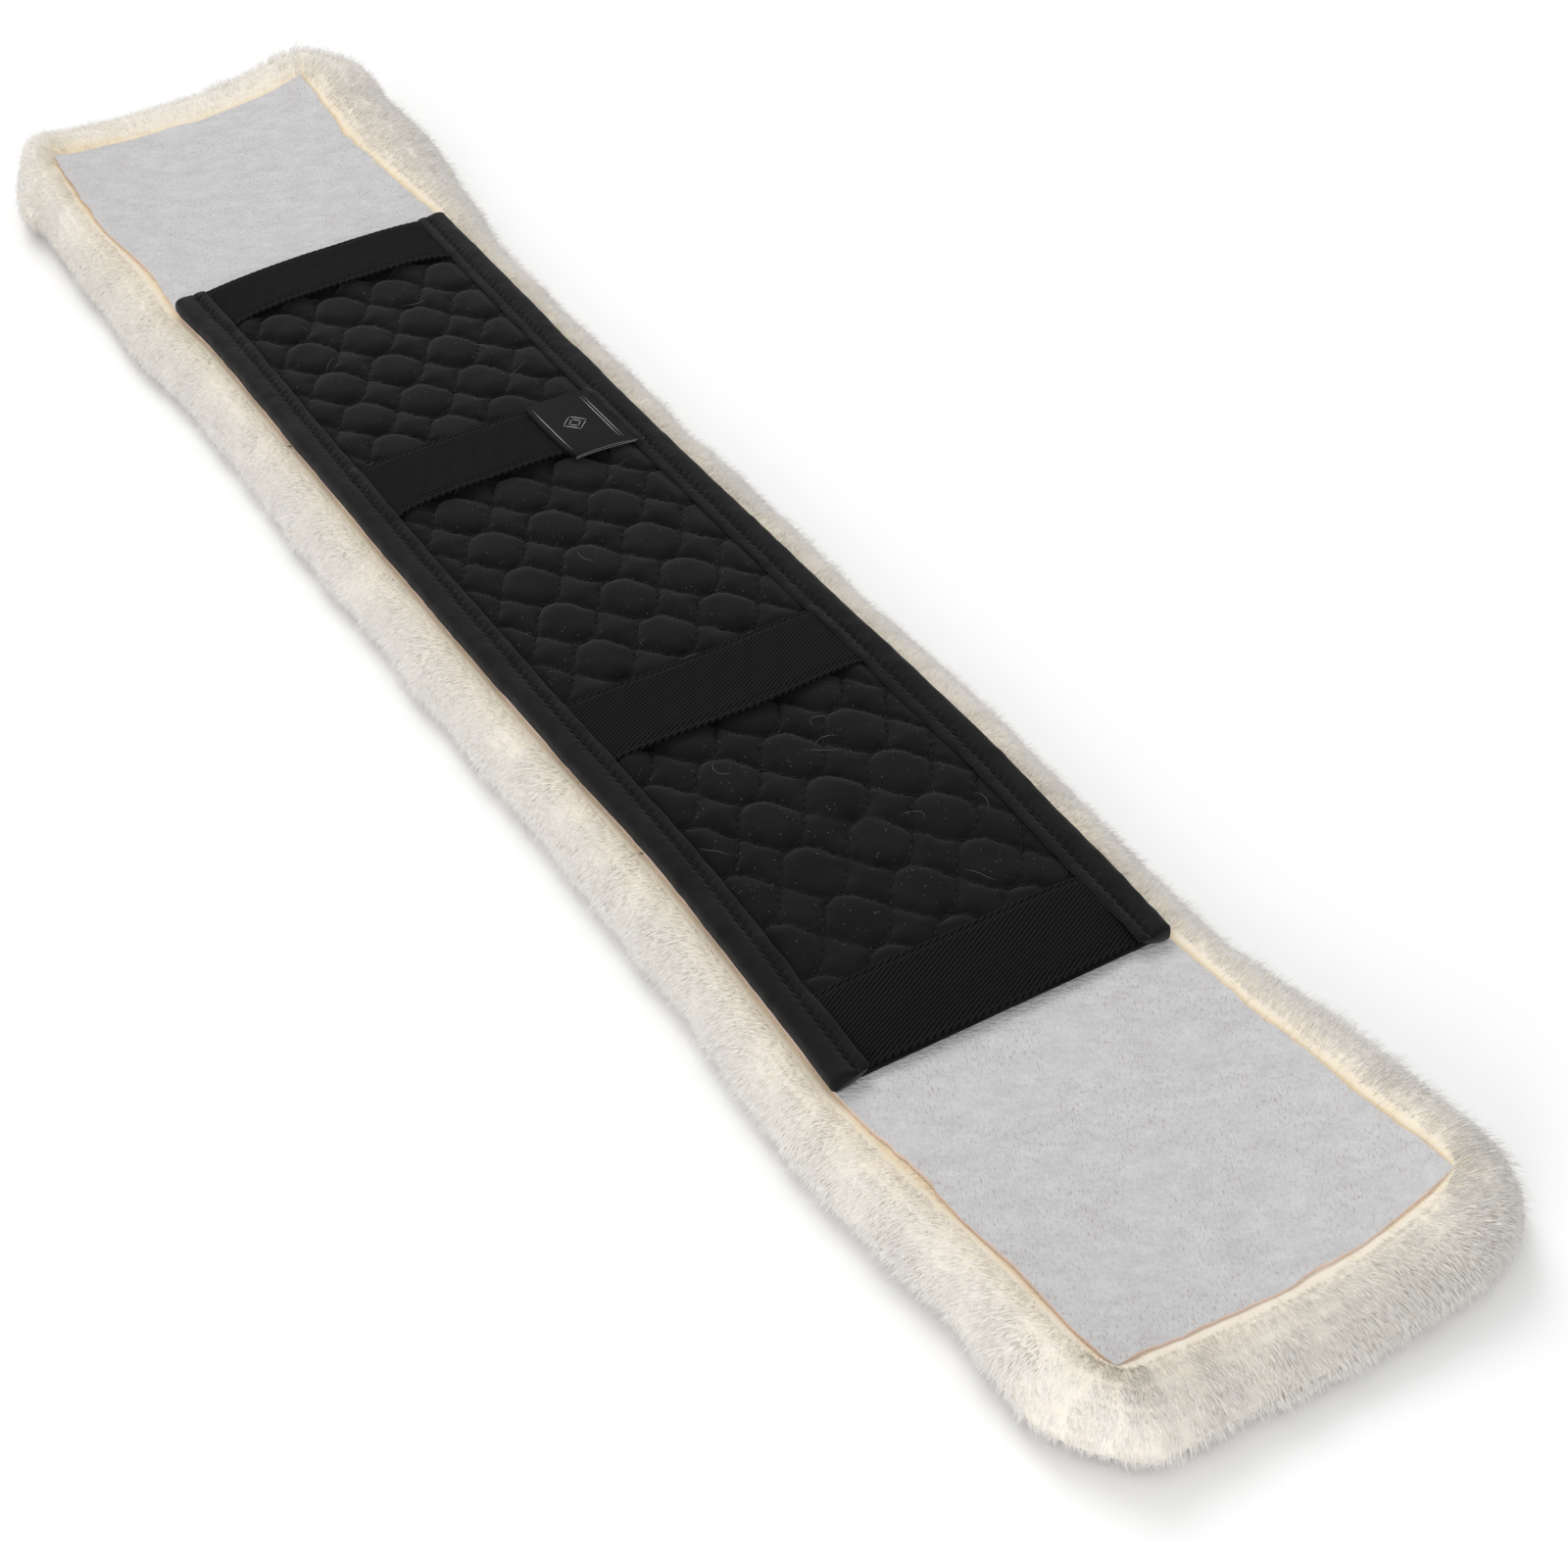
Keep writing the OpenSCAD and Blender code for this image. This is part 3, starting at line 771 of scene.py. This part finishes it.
def pressed(x, y):
    """How much of its loft the quilting keeps: less at the bindings, the ends and under the bands."""
    keep = ramp(INNER + 1 - np.abs(x), 0, 7)
    keep = keep * ramp(PANEL_FAR - y, 3, 14) * ramp(y - PANEL_NEAR, 3, 14)
    keep = keep * (1 - 0.58 * ramp(y, -150, -225)) * (1 + 0.10 * noise(x, y, 30, 22))
    for middle in BAND_Y:
        under = ramp(np.abs(y - middle), BAND_W / 2 + 3, BAND_W / 2 - 4)
        keep = keep * (1 - 0.35 * under * ramp(np.abs(x), 26, 44))
    return keep


# places where the machine missed the cloth and two cells run together: x, y and size
MISSED = [
    (-4.0, -174.0, 8.0), (7.0, -181.0, 6.0), (-37.0, -142.0, 4.5), (-28.0, -224.0, 6.0),
    (36.0, 152.0, 4.0),
]


def missed(x, y):
    """1 where the stitching is missing, 0 elsewhere."""
    spots = [np.exp(-((((x - a) ** 2 + (y - b) ** 2) / size**2) ** 2)) for a, b, size in MISSED]
    return np.max(spots, axis=0)


def puff(x, y):
    """Height of the padding above the stitch lines."""
    i, j, inside = cell_share(x, y)
    large = np.mod(i + j, 2) == 0
    uneven = 1 + 0.12 * noise(i * 31 + 0.5, j * 17 + 0.5, 1.0, 23)
    tall = np.where(large, PUFF_LARGE, PUFF_SMALL) * uneven
    full = np.maximum(inside**0.40, 0.72 * missed(x, y))
    return tall * full * pressed(x, y)


CM = 10.0
SETTLED_FRAME, FARTHEST_MOVE = 20, 1.5


def simulated_puff(x_at, y_at):
    """Cloth simulation of the top cover: pinned along the stitches, blown up by the wadding, in cm
    so that the cloth is as heavy for its size as cotton. Returns how far each point moves, in mm."""
    x, y = np.meshgrid(x_at, y_at)
    z = 0.6 * puff(x, y)
    points = np.stack([x, y, z], -1).reshape(-1, 3) / CM
    mesh = bpy.data.meshes.new("quilt_simulation")
    mesh.from_pydata(points.tolist(), [], grid_faces(*x.shape).tolist())
    trial = bpy.data.objects.new("quilt_simulation", mesh)
    bpy.context.scene.collection.objects.link(trial)
    held = cell_share(x, y)[2].ravel() < 0.10
    held |= np.abs(x.ravel()) > INNER - 0.5
    held |= (y.ravel() > PANEL_FAR - 3) | (y.ravel() < PANEL_NEAR + 3)
    pins = trial.vertex_groups.new(name="pins")
    pins.add(np.flatnonzero(held).tolist(), 1.0, "REPLACE")
    cloth = trial.modifiers.new("cloth", "CLOTH")
    settings = cloth.settings
    settings.quality, settings.mass = 4, 0.3
    settings.tension_stiffness = settings.compression_stiffness = 14
    settings.shear_stiffness, settings.bending_stiffness = 6, 0.4
    settings.shrink_min = settings.shrink_max = -0.035
    settings.use_pressure, settings.uniform_pressure_force = True, 4.0
    settings.effector_weights.gravity = 0
    settings.vertex_group_mass, settings.pin_stiffness = "pins", 1.0
    cloth.point_cache.frame_start, cloth.point_cache.frame_end = 1, SETTLED_FRAME
    scene = bpy.context.scene
    for step in range(1, SETTLED_FRAME + 1):
        scene.frame_set(step)
    settled = trial.evaluated_get(bpy.context.evaluated_depsgraph_get())
    found = np.zeros(points.size)
    settled.to_mesh().vertices.foreach_get("co", found)
    settled.to_mesh_clear()
    scene.frame_set(1)
    bpy.data.objects.remove(trial)
    moves = (found.reshape(-1, 3) - points) * CM
    length = np.linalg.norm(moves, axis=1, keepdims=True)
    moves *= np.minimum(1, FARTHEST_MOVE / np.maximum(length, 1e-9))
    moves[:, 2] += z.ravel()
    return moves.reshape(*x.shape, 3)


def resample(values, x_old, y_old, x_new, y_new):
    """Bilinear resampling of a grid of values."""
    rows = np.apply_along_axis(lambda line: np.interp(y_new, y_old, line), 0, values)
    return np.apply_along_axis(lambda line: np.interp(x_new, x_old, line), 1, rows)


def quilt_surface():
    """Grid of points over the panel: the loft, with creases and puckers along the stitches."""
    step = 1.0
    x_at = np.arange(-HALF + 2.5, HALF - 2.4, step)
    y_at = np.linspace(PANEL_NEAR, PANEL_FAR, int((PANEL_FAR - PANEL_NEAR) / step) + 1)
    x, y = np.meshgrid(x_at, y_at)
    loft_z = puff(x, y)
    shift = np.zeros((*x.shape, 3))
    coarse_x = np.linspace(x_at[0], x_at[-1], int((x_at[-1] - x_at[0]) / 1.5))
    coarse_y = np.linspace(y_at[0], y_at[-1], int((y_at[-1] - y_at[0]) / 1.5))
    shift = resample(simulated_puff(coarse_x, coarse_y), coarse_x, coarse_y, x_at, y_at)
    loft_z = 0.45 * loft_z + 0.55 * shift[..., 2]
    inside = cell_share(x, y)[2]
    crease = 0.5 * np.exp(-inside / 0.05) * ramp(INNER - np.abs(x), 0, 3) * (1 - missed(x, y))
    pucker = (0.30 * noise(x, y, 3.2, 24) + 0.16 * noise(x, y, 1.7, 25)) * np.exp(-inside / 0.30)
    soft = 0.16 * noise(x, y, 9, 26)
    keep = ramp(HALF - np.abs(x), 6, 13)
    z = SEAM_Z + loft_z - crease + (pucker + soft) * keep
    z = z - 1.0 * ramp(np.abs(x), INNER + 2, INNER + 7)
    z = z - 1.7 * np.maximum(ramp(PANEL_NEAR - y, -4, 0), ramp(y - PANEL_FAR, -4, 0))
    return np.stack([x + shift[..., 0] * keep, y + shift[..., 1] * keep, z], -1), x, y


def quilt():
    top, x, y = quilt_surface()
    rows, cols = x.shape
    count = rows * cols
    base = HIDE_TOP + 0.15
    left = np.stack([x[:, 0], y[:, 0], np.full(rows, base)], 1)
    right = np.stack([x[:, -1], y[:, -1], np.full(rows, base)], 1)
    points = np.vstack([top.reshape(-1, 3), left, right])
    k = np.arange(rows - 1)
    low_l, low_r = count + k, count + rows + k
    under = np.stack([low_l, low_l + 1, low_r + 1, low_r], 1)
    side_l = np.stack([low_l, k * cols, (k + 1) * cols, low_l + 1], 1)
    side_r = np.stack([low_r + 1, (k + 2) * cols - 1, (k + 1) * cols - 1, low_r], 1)
    near_end = np.concatenate([[count, count + rows], np.arange(cols)[::-1]])[None]
    last_row = count - cols + np.arange(cols)
    far_end = np.concatenate([[count + 2 * rows - 1, count + rows - 1], last_row])[None]
    faces = [grid_faces(rows, cols), under, side_l, side_r, near_end, far_end]
    cloth = dressed(build("quilted_panel", points, faces), "quilt_cotton", QUILT_BLACK)
    bend_panel(facing_out(cloth, 70))
    for stem in ("quilt_cloth", "wadding", "backing_cloth"):
        stands_for(cloth, stem, HALVES)
    return top


quilt_top = quilt()


def quilt_height(x, y):
    """Height of the quilted cloth at flat places."""
    i = np.clip(np.round((x - quilt_top[0, 0, 0])).astype(int), 0, quilt_top.shape[1] - 1)
    share = (y - PANEL_NEAR) / (PANEL_FAR - PANEL_NEAR)
    j = np.clip(np.round(share * (quilt_top.shape[0] - 1)).astype(int), 0, quilt_top.shape[0] - 1)
    return quilt_top[j, i, 2]


def sewn(name, starts, ends, radius, stem):
    """Separate stitches of thread."""
    thread = dressed(build(name, *beads(starts, ends, radius)), "thread", THREAD_BLACK)
    stands_for(bend_panel(thread), stem, HALVES)


def on_quilt(place, lift):
    """Flat places raised to just above the quilted cloth."""
    return np.column_stack([place, quilt_height(*place.T) + lift])


def quilt_stitches():
    """Thread dashes along both families of wavy stitch lines."""
    pitch = DASH_PITCH / math.hypot(CELL_W / 2, CELL_L / 2)
    t = np.arange(-26, 26, pitch)
    lines = []
    for family in (0, 1):
        for i in range(-30, 31):
            pair = []
            for q in (t, t + pitch * DASH_SHARE):
                p = seam(i, q)
                pair.append(cell_place(q, p) if family else cell_place(p, q))
            lines.append(np.array(pair).transpose(2, 0, 1))
    dashes = np.vstack(lines)  # each dash has a start and an end, with x and y
    x, y = dashes[..., 0], dashes[..., 1]
    inside = (np.abs(x) < INNER + 0.5) & (y < PANEL_FAR - 2) & (y > PANEL_NEAR + 2)
    dashes = dashes[(inside & (missed(x, y) < 0.4)).all(1)]
    starts, ends = on_quilt(dashes[:, 0], 0.16), on_quilt(dashes[:, 1], 0.16)
    sewn("quilt_stitches", starts, ends, 0.30, "quilt_thread")


quilt_stitches()


# ---------------- bindings
# distance in from the outer edge and height, going round the folded tape
BINDING_SECTION = np.array([
    (0.4, 21.75), (-0.3, 22.3), (-0.5, 24.0), (-0.3, 25.9), (0.4, 27.2), (1.8, 27.8), (4.2, 27.9),
    (6.2, 27.5), (7.3, 26.9), (8.0, 26.4), (8.5, 26.3), (9.0, 26.8), (10.2, 27.2), (11.9, 27.1),
    (12.6, 26.5), (12.4, 25.9), (11.0, 24.9), (8.0, 23.2), (4.0, 21.9),
])
STITCH_IN, STITCH_PITCH, STITCH_LENGTH = 8.2, 3.9, 2.6
LABEL_MID = (LABEL_LOW[1] + LABEL_HIGH[1]) / 2
LABEL_HALF = (LABEL_HIGH[1] - LABEL_LOW[1]) / 2


def lip_lift(side, y, d):
    """The right binding's inner lip rides up over the label and over the ends of the bands."""
    over = 0.0
    if side > 0:
        over = 1.5 * ramp(np.abs(y - LABEL_MID), LABEL_HALF + 5, LABEL_HALF - 3)
    for middle in BAND_Y:
        over = np.maximum(over, 0.7 * ramp(np.abs(y - middle), BAND_W / 2 + 4, BAND_W / 2 - 3))
    return over * ramp(d, 7.0, 10.5)


def binding_point(side, y, d, z):
    """One place on a binding, with its waver, puckers and stitch dimples."""
    seed = 30 + side
    rise = 0.28 * noise(y, d, 17, seed) + 0.22 * noise(y, d * 2, 5, seed + 1) * ramp(z, 23, 27)
    bulge = 0.3 * noise(y, d * 0 + 3, 19, seed + 2) + 0.14 * noise(y, d * 0, 4.5, seed + 3)
    dimple = 0.42 * np.cos(2 * np.pi * y / STITCH_PITCH) * hump(d, STITCH_IN, 1.7) * (z > 26)
    inner = 0.35 * noise(y, d * 0, 9, seed + 4) * ramp(d, 8, 12)
    outward = HALF - d + bulge * ramp(d, 5, 0) - inner
    raised = rise * ramp(z, 22, 25) + lip_lift(side, y, d) * (z > 24.8)
    return side * outward, z + raised - dimple


def binding(side, end):
    section = smoothed(BINDING_SECTION, 1, closed=True)
    y = np.linspace(PANEL_NEAR - 1.8, PANEL_FAR + 0.8, 470)[:, None]
    x, z = binding_point(side, y, *section.T)
    # both ends are pinched in
    past = 1 - np.clip(np.minimum(y - y[0], y[-1] - y), 0, 1)
    squeeze = 1 - 0.16 * past**2
    mid_x, mid_z = side * (HALF - 5.8), 25.2
    x, z = mid_x + (x - mid_x) * squeeze, mid_z + (z - mid_z) * squeeze
    points, sides, caps = loft(np.stack([x, y + x * 0, z], -1))
    d = HALF - np.abs(points[:, 0])
    wrap = np.where(points[:, 2] < 26, d - (27 - points[:, 2]), d)
    lay = np.stack([wrap, points[:, 1]], 1)
    tape = build(f"binding_{end}", points, [sides, caps], lay=lay)
    bend_panel(facing_out(dressed(tape, "binding_cotton", BIND_BLACK)))
    stands_for(tape, f"binding_{end}", HALVES)
    y = np.arange(PANEL_NEAR + 3, PANEL_FAR - 4, STITCH_PITCH)
    y = np.round(y / STITCH_PITCH) * STITCH_PITCH - 1.3
    d = STITCH_IN + 0.12 * noise(y, y * 0, 12, 36)
    rows = []
    for shift in (0.0, STITCH_LENGTH):
        x, z = binding_point(side, y + shift, d, np.full_like(y, 26.5))
        rows.append(np.stack([x, y + shift, z + 0.02], 1))
    sewn(f"binding_{end}_stitches", *rows, 0.33, f"binding_thread_{end}")


binding(-1, "left")
binding(1, "right")


# ---------------- elastic bands
BAND_THICK = 1.1
# each band's lift over the stitch lines at its far and near edge, and its bow toward the near end
BAND_LIFT = [(1.6, 4.2, -1.0), (3.9, 4.7, 1.5), (3.7, 4.2, 4.0), (3.2, -0.2, 1.2)]
TAIL_Z = SEAM_Z + 1.7
SPLIT = [0.0, -9.0, 0.0, 0.0]  # where the two halves of a band meet


def band_height(n, x, v):
    """Top of a band; v is measured from its middle toward the far end."""
    far_lift, near_lift, _ = BAND_LIFT[n]
    lift = far_lift + (near_lift - far_lift) * (0.5 - v / BAND_W)
    free = np.clip(np.abs(x) / INNER, 0, 1)
    # the tails of the end bands follow their low edge down to the hide
    tail = TAIL_Z + np.minimum(lift - 1.6, 0)
    z = tail + (SEAM_Z + lift + BAND_THICK - tail) * (1 - free**4.5)
    if n == 1:
        z = z - 1.5 * ramp(x, 8, 34)
    return z + 0.14 * noise(x, v, 22, 40 + n)


def band_relief(x, v):
    """Slanting ribs, with a flat selvedge and rows of stitch dimples along both edges."""
    ribbed = np.abs(np.sin(np.pi * (x * RIB_WAY[0] + v * RIB_WAY[1]) / RIB_PITCH))
    inner = ramp(BAND_W / 2 - np.abs(v), 2.2, 3.4)
    relief = 0.50 * ribbed * (0.30 + 0.70 * inner)
    rows = ((BAND_W / 2 - 1.7, 0.0), (-BAND_W / 2 + 1.6, 0.0), (-BAND_W / 2 + 3.3, 0.5))
    for place, offset in rows:
        beat = 0.55 + 0.45 * np.cos(2 * np.pi * (x / 1.75 + offset))
        relief = relief - 0.42 * beat * hump(v, place, 0.5)
    return relief + 0.12 * hump(np.abs(v), BAND_W / 2 - 0.5, 0.5)


def band_point(n, x, v):
    """Flat place of a point of a band before it is draped."""
    bow = BAND_LIFT[n][2] * (1 - np.clip(np.abs(x) / INNER, 0, 1) ** 2)
    waver = 0.25 * noise(x, v * 0 + n, 13, 45)
    return np.stack([x, BAND_Y[n] + v - bow + waver, band_height(n, x, v)], -1)


def band_half(n, side, low, high):
    """Half of a band from x low to high."""
    x_at = np.linspace(low, high, int((high - low) / 0.42))
    v_at = np.linspace(-BAND_W / 2, BAND_W / 2, 84)
    x, v = np.meshgrid(x_at, v_at)
    top = band_point(n, x, v)
    bottom = top - np.array([0, 0, BAND_THICK])
    edge = np.minimum(BAND_W / 2 - np.abs(v), 0.5) / 0.5
    top[..., 2] += band_relief(x, v) * ramp(INNER + 2 - np.abs(x), 0, 2) - 0.3 * (1 - edge)
    bottom[..., 2] += 0.2 * (1 - edge)
    points, faces, _ = slab(top, bottom)
    lay = np.vstack([np.stack([x, v], -1).reshape(-1, 2)] * 2)  # the weave runs on from half to half
    piece = build(f"elastic_{n + 1}_{side}", points, faces, lay=lay)
    facing_out(dressed(piece, "elastic", ELASTIC_BLACK), 55)
    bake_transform(piece)
    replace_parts(piece, f"elastic_{n + 1}", f"elastic_{n + 1}_sewn_ends")


for n in range(4):
    # the second band is held at the right by the label, and meets its left half off the middle
    band_half(n, "left", -INNER - 4, SPLIT[n])
    band_half(n, "right", SPLIT[n], INNER + 4)


# ---------------- label
LABEL_THICK = 0.42
LABEL_FOLD = LABEL_LOW[0] - 1.6


def label_path():
    """The folded ribbon seen from its near side: under the binding, out to the fold and back."""
    x_out = np.linspace(INNER + 3.5, LABEL_FOLD + 1.2, 26)
    low = TAIL_Z + 0.5 + 2.7 * (1 - ((x_out - LABEL_FOLD) / (INNER + 3.5 - LABEL_FOLD)) ** 1.6)
    gap = np.interp(x_out, [LABEL_FOLD, 40, INNER + 3.5], [1.7, 1.5, 0.6])
    turn = np.linspace(-0.5 * np.pi, -1.5 * np.pi, 9)[1:-1]
    radius, middle = gap[-1] / 2, low[-1] + gap[-1] / 2
    fold = np.stack([x_out[-1] + radius * np.cos(turn) * 1.1, middle + radius * np.sin(turn)], 1)
    lower = np.stack([x_out, low], 1)
    upper = np.stack([x_out, low + gap], 1)[::-1]
    return lower, fold, upper


def label_point(path, v, upper):
    """Places the ribbon's path across its width; its free corners are soft and droop a little."""
    x, z = path[:, None, 0], path[:, None, 1]
    free = np.clip((INNER - x) / (INNER - LABEL_FOLD), 0, 1)
    corner = free**3 * np.abs(v[None] / LABEL_HALF) ** 5
    near = v[None] < 0
    x = x + corner * np.where(near, 2.6, 1.0)
    y = LABEL_MID + v[None] * (1 - 0.035 * free**4) - 0.8 * free * upper[:, None]
    droop = corner * np.where(near, 1.5, 0.6)
    wave = 0.22 * noise(x, v[None] + x * 0, 12, 50) * free
    return np.stack([x, y, z - droop + wave], -1)


def label():
    lower, fold, upper = label_path()
    path = np.vstack([lower, fold, upper])
    share = np.interp(np.arange(len(path)), [len(lower), len(path) - len(upper) - 1], [0, 1])
    v = np.linspace(-LABEL_HALF, LABEL_HALF, 60)
    along = unit(np.gradient(path, axis=0))
    inner_side = np.stack([along[:, 1], -along[:, 0]], 1)
    outer = label_point(path, v, share)
    inside = label_point(path + inner_side * LABEL_THICK, v, share)
    points, faces, slots = slab(outer, inside)
    ribbon = build("label", points, faces, slots=slots)
    facing_out(dressed(ribbon, "label_satin", LABEL_BLACK, LABEL_EDGE), 55)
    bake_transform(ribbon)
    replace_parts(ribbon, "label", "label_sewn_ends")
    return upper


label_top = label()


def label_marks():
    """Plain woven decoration in place of any lettering: fine borders and a lozenge."""
    order = np.argsort(label_top[:, 0])

    def bar(x0, v0, x1, v1):
        x, v = np.linspace(x0, x1, 24), np.linspace(v0, v1, 24)
        path = np.stack([x, np.interp(x, *label_top[order].T)], 1)
        return [label_point(path[[k]], v[[k]], np.ones(1))[0, 0] for k in range(24)]

    edge = LABEL_HALF - 4
    lines = [bar(x, -edge, x, edge) for x in (LABEL_FOLD + 2.6, INNER - 5.0, INNER - 3.6)]
    middle = (LABEL_FOLD + INNER) / 2 - 1.5
    for size in (5.0, 2.6):
        corners = [(middle - size, 0), (middle, size), (middle + size, 0), (middle, -size)]
        lines += [bar(*corners[k - 1], *corners[k]) for k in (1, 2, 3, 0)]
    paths = np.array(lines) + np.array([0, 0, 0.06])
    marks = dressed(build("label_marks", *tubes(paths, 0.16)), "label_satin", LABEL_MARK)
    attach(marks, "label_tab")


label_marks()


# ---------------- lint and stray hairs
def fluff(name, made):
    """Pale bits that lie on the panel."""
    bend_panel(dressed(build(name, *made), "wool", LINT))


def lint():
    """Specks of wool caught on the quilting, clear of the bands and the label."""
    count = 900
    x = rng.uniform(-INNER + 1, INNER - 1, count)
    y = PANEL_NEAR + 8 + (PANEL_FAR - PANEL_NEAR - 16) * rng.beta(1.0, 1.35, count)
    clear = np.all([np.abs(y - m) > BAND_W / 2 + 6 for m in BAND_Y], axis=0)
    clear &= ~((x > LABEL_FOLD - 3) & (np.abs(y - LABEL_MID) < LABEL_HALF + 4))
    place = np.stack([x, y], 1)[clear]
    heading = rng.uniform(0, np.pi, len(place))
    size = rng.uniform(0.15, 0.8, len(place))
    tips = place + np.stack([np.cos(heading), np.sin(heading)], 1) * size[:, None]
    fluff("lint", beads(on_quilt(place, 0.22), on_quilt(tips, 0.25), 0.075, sides=4))


def stray_hairs():
    """A few curling hairs on the quilting."""
    hairs = []
    while len(hairs) < 14:
        place = np.array([rng.uniform(-42, 42), rng.uniform(PANEL_NEAR + 40, PANEL_FAR - 30)])
        heading, curl = rng.uniform(0, 2 * np.pi), rng.normal(0, 0.06)
        path = []
        for _ in range(22):
            path.append(place)
            place = place + 0.55 * np.array([math.cos(heading), math.sin(heading)])
            heading, curl = heading + curl, curl + rng.normal(0, 0.02)
        path = np.array(path)
        off_band = np.all([np.abs(path[:, 1] - m).min() > BAND_W / 2 + 5 for m in BAND_Y])
        if off_band and np.abs(path[:, 0]).max() < INNER - 1:
            z = quilt_height(*path.T)
            hairs.append(np.column_stack([path, np.maximum(z, z.mean()) + 0.28]))
    fluff("stray_hairs", tubes(hairs, 0.055))


lint()
stray_hairs()


# ---------------- floor, light and camera
def floor():
    points = 4000.0 * np.array([(-1, -1, 0), (1, -1, 0), (1, 1, 0), (-1, 1, 0)])
    ground = build("floor", points, [[[0, 1, 2, 3]]], draped=False, smooth=False)
    ground.data.materials.append(paint("floor_pale", (0.92, 0.92, 0.92), 0.9, specular=0.1))


def area_light(name, place, target, size, watts):
    data = bpy.data.lights.new(name, "AREA")
    data.shape, data.size, data.energy = "DISK", size, watts
    lamp = bpy.data.objects.new(name, data)
    lamp.location = place
    lamp.rotation_euler = (Vector(target) - Vector(place)).to_track_quat("-Z", "Y").to_euler()
    bpy.context.scene.collection.objects.link(lamp)


def sky(strength):
    world = bpy.data.worlds.new("studio")
    world.use_nodes = True
    inputs = world.node_tree.nodes["Background"].inputs
    inputs["Color"].default_value = (1, 1, 1, 1)
    inputs["Strength"].default_value = strength
    bpy.context.scene.world = world


floor()
sky(0.77)
area_light("key_far", (0.4, 3.4, 4.2), (0, 0, 0), 2.8, 112)
area_light("fill_near", (-1.9, -1.5, 0.75), (0, -0.1, 0), 1.6, 24)
bpy.context.scene.view_settings.view_transform = "Standard"

AZIMUTH, ELEVATION, ROLL = (math.radians(angle) for angle in (-28.4, 41.5, -2.75))
AIM, DISTANCE = Vector((-0.0045, -0.1516, 0.027)), 0.919


def photo_camera():
    """The camera, placed as the photo was taken."""
    lens = bpy.data.cameras.new("camera")
    lens.lens, lens.sensor_width = 64, 36
    lens.clip_start, lens.clip_end = 0.05, 20
    camera = bpy.data.objects.new("camera", lens)
    flat = math.cos(ELEVATION)
    back = Vector((math.sin(AZIMUTH) * flat, -math.cos(AZIMUTH) * flat, math.sin(ELEVATION)))
    camera.location = AIM + back * DISTANCE
    camera.rotation_mode = "QUATERNION"
    turn = Matrix.Rotation(ROLL, 3, "Z").to_quaternion()
    camera.rotation_quaternion = (-back).to_track_quat("-Z", "Y") @ turn
    bpy.context.scene.collection.objects.link(camera)
    bpy.context.scene.camera = camera


photo_camera()
bpy.context.view_layer.update()
